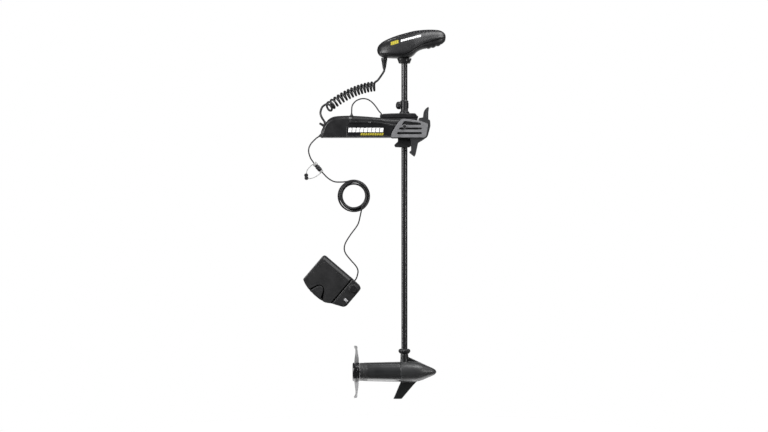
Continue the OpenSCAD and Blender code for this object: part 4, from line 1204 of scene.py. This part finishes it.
def foot_plate():
    outline = [*PEDAL_CORNER, (PLATE_END, 0), (PLATE_END, -145.2), (140, -157), (128, -160),
               *reversed(BUTTON_GAP[1:-1]), (48, -160), (20, -152), (0, -142)]
    top = rounded(list(reversed(outline)), 4.5, 5)  # counter-clockwise, so that insets point inwards
    face = pedal_pillow(top, ((36, 0.6, 0), (36.6, 0, 0), (42, 0, 0), (42.8, 0.6, 1), (43.2, 1.2, 5),
                              (43.4, 1.4, 6), (48.8, 1.6, 14.5), (49, 2.2, 16)))
    inset = [(15, -30), (19, -26), (147, -26), (150, -30), (150, -134), (135, -142), (130, -144), (113, -114),
             (100, -100), (68, -100), (55, -114), (41, -143), (26, -137), (15, -130)]
    tread = pedal_slab([rounded(inset, 5, 4)], 44, 49.5, 0.4)
    legs = [pedal_slab([rounded(oblong(x, -80, 5, 8), 1)], 24, 40, 1) for x in (44, 108)]
    return piece("foot_plate_tread", "foot_plate", "foot_plate", face, tread, *legs)


def momentary_button():
    cap = pedal_slab([rounded(BUTTON, 3, 4)], 40, 49.6, 2.4)
    dots = [pedal_disc((u, v), rounded([(49, 0), (49, 3), (50.2, 2.6), (50.2, 0)], 0.5), 24)
            for u, v in ((76, -130), (92, -130), (72, -146), (84, -146), (97, -146))]
    stem = pedal_disc((86, -142), rounded([(12, 0), (12, 3), (42, 3), (42, 0)], 0.5), 32)
    return piece("momentary_button_cap", "momentary_button", "momentary_button", cap, stem, *dots)


def speed_dial():
    profile = [(42, 0), (42, 5.8), (46.3, 5.8), (46.4, 16.6), (48, 17), (52, 16.2), (53, 14.8), (52.4, 12),
               (52.2, 0)]
    knob = pedal_disc(DIAL, rounded(profile, 0.8, 3), 144, scallops(0.9, 18, 46, 1))
    u, v = DIAL
    pointer = pedal_slab([rounded(oblong(u, v + 8, 1, 6), 0.8, 3)], 51, 53.6, 0.4)
    return piece("speed_dial_knob", "speed_dial", "speed_dial", knob, pointer)


def mode_switch():
    u, v = SWITCH
    foot = pedal_slab([oblong(u, v, 3.6, 4)], 41, 45, 0.5)
    cap = pedal_slab([rounded(oblong(u, v, 9, 5.5), 1.5)], 44.2, 48, 1)
    ridges = [pedal_slab([rounded(oblong(u, v + k, 7, 0.5), 0.4)], 47.5, 48.8, 0.3) for k in (-2.5, 0, 2.5)]
    return piece("mode_switch_slider", "mode_switch", "mode_switch", foot, cap, *ridges)


def pedal_sole():
    mat = pedal_slab([rounded(PEDAL_OUTLINE, 5, 4)], -2, -0.05, 0.5)
    feet = [pedal_disc(p, rounded([(-5, 0), (-5, 7.6), (-3.6, 9), (-1.5, 9), (-1.5, 0)], 0.8), 40)
            for p in ((18, -20), (200, -26), (196, -104), (24, -132))]
    return piece("pedal_sole_pad", "mount", "pedal_sole", mat, *feet)


def pedal_boot():
    """The pleated dust boot between the tray and the rocking plate."""
    path = rounded([(4, -139), (22, -148), (48, -156), (84, -159.5), (126, -156), (142, -151.5), (156, -144),
                    (156, -4), (4, -4)], 8, 5)
    low, high, pleats, depth = 17, 37, 6, 2.5
    rings = [[on_pedal(*moved, low + (high - low) * i / 2 / pleats) for _,
              moved in drawn_in(path, depth * (i % 2))] for i in range(2 * pleats + 1)]
    obj = add("pedal_dust_boot", *lofted(rings, caps=False), LOOKS["cord_rubber"], sharp=30)
    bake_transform(obj)


# ---- springs

def spring(name, node, start, end, r, wire, turns, centre):
    """A spring along y, from start to end."""
    path = []
    steps = 24
    for i in range(turns * steps + 1):
        rise = start + (end - start) * i / turns / steps
        path.append(Vector(centre) + AXES["y"](rise, *polar(r, tau * i / steps)))
    obj = add(name, *tube(path, wire, 8), look(node), sharp=80)
    path[0] * MM + AXES["y"](end - start, 0, 0) * MM
    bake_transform(obj)
    return stands_for(obj, None, node)


def springs():
    low, high = box("latch_spring")
    spring("latch_coil_spring", "latch_spring", low.y + 0.7, high.y - 0.7, 7, 0.7, 4,
           (0, 0, middle("latch_spring").z))
    low, high = box("button_spring")
    c = middle("button_spring")
    spring("button_coil_spring", "button_spring", high.y - 0.6, low.y + 0.6, 5, 0.6, 6,
           (c.x, 0, c.z))


# ---- carried-over CAD pieces

# nodes with small features get narrow bevels
FINE = {"control_board", "head_board", "pedal_board", "motor_pinion", "steering_gear", "mount_screws",
        "gearbox_screws", "head_fasteners", "brush_carrier", "prop_nut"}
BLACKENED = {"latch_pin"}  # steel with a black finish


def dress_cad():
    """Every CAD node that is still shown gets welded, soft edges and its slot's finish."""
    for name, obj in frame["nodes"].items():
        obj.data.materials.clear()
        obj.data.materials.append(LOOKS["channel_paint"] if name in BLACKENED else look(name))
        obj.data.polygons.foreach_set("use_smooth", [True] * len(obj.data.polygons))
        modify(obj, "WELD", merge_threshold=WELD)
        modify(obj, "BEVEL", width=(0.25 if name in FINE else 0.8) * MM, segments=2, limit_method="ANGLE",
               angle_limit=radians(35))
        even(obj)


# ---- studio

FLOOR_GAP = 175  # millimetres: the floor lies below the lowest pose
FLOOR_RINGS = (0, 0.3, 0.7, 1.2, 2, 3.5, 6)  # metres


def floor():
    """A pale round floor whose far part is clear to the camera, so that no horizon shows."""
    z = cad_bounds[0].z / MM - FLOOR_GAP
    rings = [[Vector((*polar(r / MM, tau * i / 96), z)) for i in range(96)] for r in FLOOR_RINGS]
    s = Shader("studio_floor")
    level = s.node("ShaderNodeVectorMath", {0: s.place, 1: (1, 1, 0)}, operation="MULTIPLY").outputs[0]
    reach = s.node("ShaderNodeVectorMath", {0: level}, operation="LENGTH").outputs["Value"]
    depth = s.node("ShaderNodeSeparateXYZ", {0: s.place}).outputs["Y"]
    pale = s.mix(s.span(s.noise(120, 4), 0, 1), (0.93, 0.93, 0.93, 1), (0.96, 0.96, 0.96, 1))
    path = s.node("ShaderNodeLightPath").outputs
    seen = path["Is Camera Ray"]
    mirrored = s.maths("MULTIPLY", path["Is Glossy Ray"], s.span(path["Ray Length"], 1.0, 0.0, 0.4, 0.55))
    band = s.maths("MULTIPLY", s.span(depth, 0.0, 1.0, -0.045, -0.02), s.span(depth, 1.0, 0.0, 0.18, 0.28))
    bounced = s.maths("MULTIPLY", s.span(depth, 0.03, 1.0, -0.06, 0.03), 0.5)
    strength = s.maths("ADD", s.maths("MULTIPLY", s.maths("MULTIPLY", mirrored, band), 3.6), bounced)
    glow = s.maths("MAXIMUM", seen, strength)
    s.finish(Base_Color=(0.1, 0.1, 0.1, 1), Roughness=0.7, Emission_Color=pale, Emission_Strength=glow)
    clear = s.node("ShaderNodeBsdfTransparent").outputs[0]
    share = s.maths("MULTIPLY", seen, s.span(reach, 0.0, 1.0, 0.9, 1.3))
    blended = s.node("ShaderNodeMixShader", {0: share, 1: s.surface.outputs[0], 2: clear}).outputs[0]
    s.tree.links.new(blended, s.tree.nodes["Material Output"].inputs["Surface"])
    obj = add("studio_floor", *lofted(rings, caps=False), s.material)


LIGHTS = {  # place and aim from the object's middle, width, power and height, in metres and watts
    "front_softbox": ((-3.2, -3.3, 2.0), (0, 0, 0), 2.4, 200, 2.4),
    "left_strip": ((-3.0, -0.45, 0.1), (0, 0, 0.1), 0.5, 40, 2.6),
    "right_strip": ((2.4, -1.9, 0.2), (0, 0, 0.2), 0.16, 20, 1.6),
    "top_softbox": ((1.1, -0.9, 2.2), (0, 0, 0.3), 1.6, 70, 1.6),
    "top_strip": ((-0.1, 0.62, 2.4), (-0.1, 0, 0), 1.8, 5, 0.1),
    "back_fill": ((0.6, 4.6, 0.6), (0, 0, 0), 3.4, 30, 3.4),
}


def softbox(name, place, aim, wide, power, tall):
    data = bpy.data.lights.new(name, "AREA")
    data.shape, data.size, data.size_y, data.energy = "RECTANGLE", wide, tall, power
    obj = bpy.data.objects.new(name, data)
    obj.location = (cad_bounds[0] + cad_bounds[1]) / 2 + Vector(place)
    obj.rotation_euler = (Vector(aim) - Vector(place)).to_track_quat("-Z", "Y").to_euler()
    bpy.context.scene.collection.objects.link(obj)


def surroundings():
    """White to the camera, and a dim room to reflections."""
    world = bpy.data.worlds.new("studio")
    bpy.context.scene.world = world
    world.use_nodes = True
    tree = world.node_tree
    seen = tree.nodes.new("ShaderNodeLightPath").outputs["Is Camera Ray"]
    white, dim = tree.nodes["Background"], tree.nodes.new("ShaderNodeBackground")
    white.inputs["Color"].default_value, white.inputs["Strength"].default_value = (1, 1, 1, 1), 1.0
    dim.inputs["Color"].default_value, dim.inputs["Strength"].default_value = (1, 1, 1, 1), 0.04
    mixed = tree.nodes.new("ShaderNodeMixShader")
    tree.links.new(seen, mixed.inputs[0])
    tree.links.new(dim.outputs[0], mixed.inputs[1])
    tree.links.new(white.outputs[0], mixed.inputs[2])
    tree.links.new(mixed.outputs[0], tree.nodes["World Output"].inputs["Surface"])


def studio():
    surroundings()
    floor()
    for name, settings in LIGHTS.items():
        softbox(name, *settings)


CAMERA_FAR, FRAME_HIGH, FRAME_RATIO = 12.0, 1.909, 768 / 432
SIDE_MARGIN, TOP_MARGIN = 0.0414, 0.131  # where the object sits in the frame, in metres at the shaft


def camera():
    data = bpy.data.cameras.new("camera")
    data.sensor_width = 36
    data.lens = data.sensor_width * CAMERA_FAR / (FRAME_HIGH * FRAME_RATIO)
    obj = bpy.data.objects.new("camera", data)
    low, high = cad_bounds
    obj.location = ((low.x + high.x) / 2 + SIDE_MARGIN, -CAMERA_FAR, high.z + TOP_MARGIN - FRAME_HIGH / 2)
    obj.rotation_euler = (pi / 2, 0, 0)
    bpy.context.scene.collection.objects.link(obj)
    bpy.context.scene.camera = obj


# ---- build

dress_cad()
upper = head_upper_shell()
head_lower_shell()
head_labels(upper)
head_clamp()
clamp_screw()
strain_relief()
coiled_cord()
lead_loop()
cable_glands()
pedal_cable()
cable_plugs()
cap_tethers()
cover_labels(cover("starboard_cover_shell", "starboard_cover", -1), -1, "starboard")
cover_labels(cover("port_cover_shell", "port_cover", 1), 1, "port")
side_plate("starboard_plate", "starboard_side_plate", -1)
side_plate("port_plate", "port_side_plate", 1)
ramp("starboard_ramp", -1)
ramp("port_ramp", 1)
release_lever()
gearbox_cover()
depth_collar()
collar_knob()
neck_nut()
nose_housing()
end_cap()
propeller()
pedal_base()
foot_plate()
momentary_button()
speed_dial()
mode_switch()
pedal_sole()
pedal_boot()
springs()
studio()
camera()
bpy.context.scene.view_settings.view_transform = "Standard"
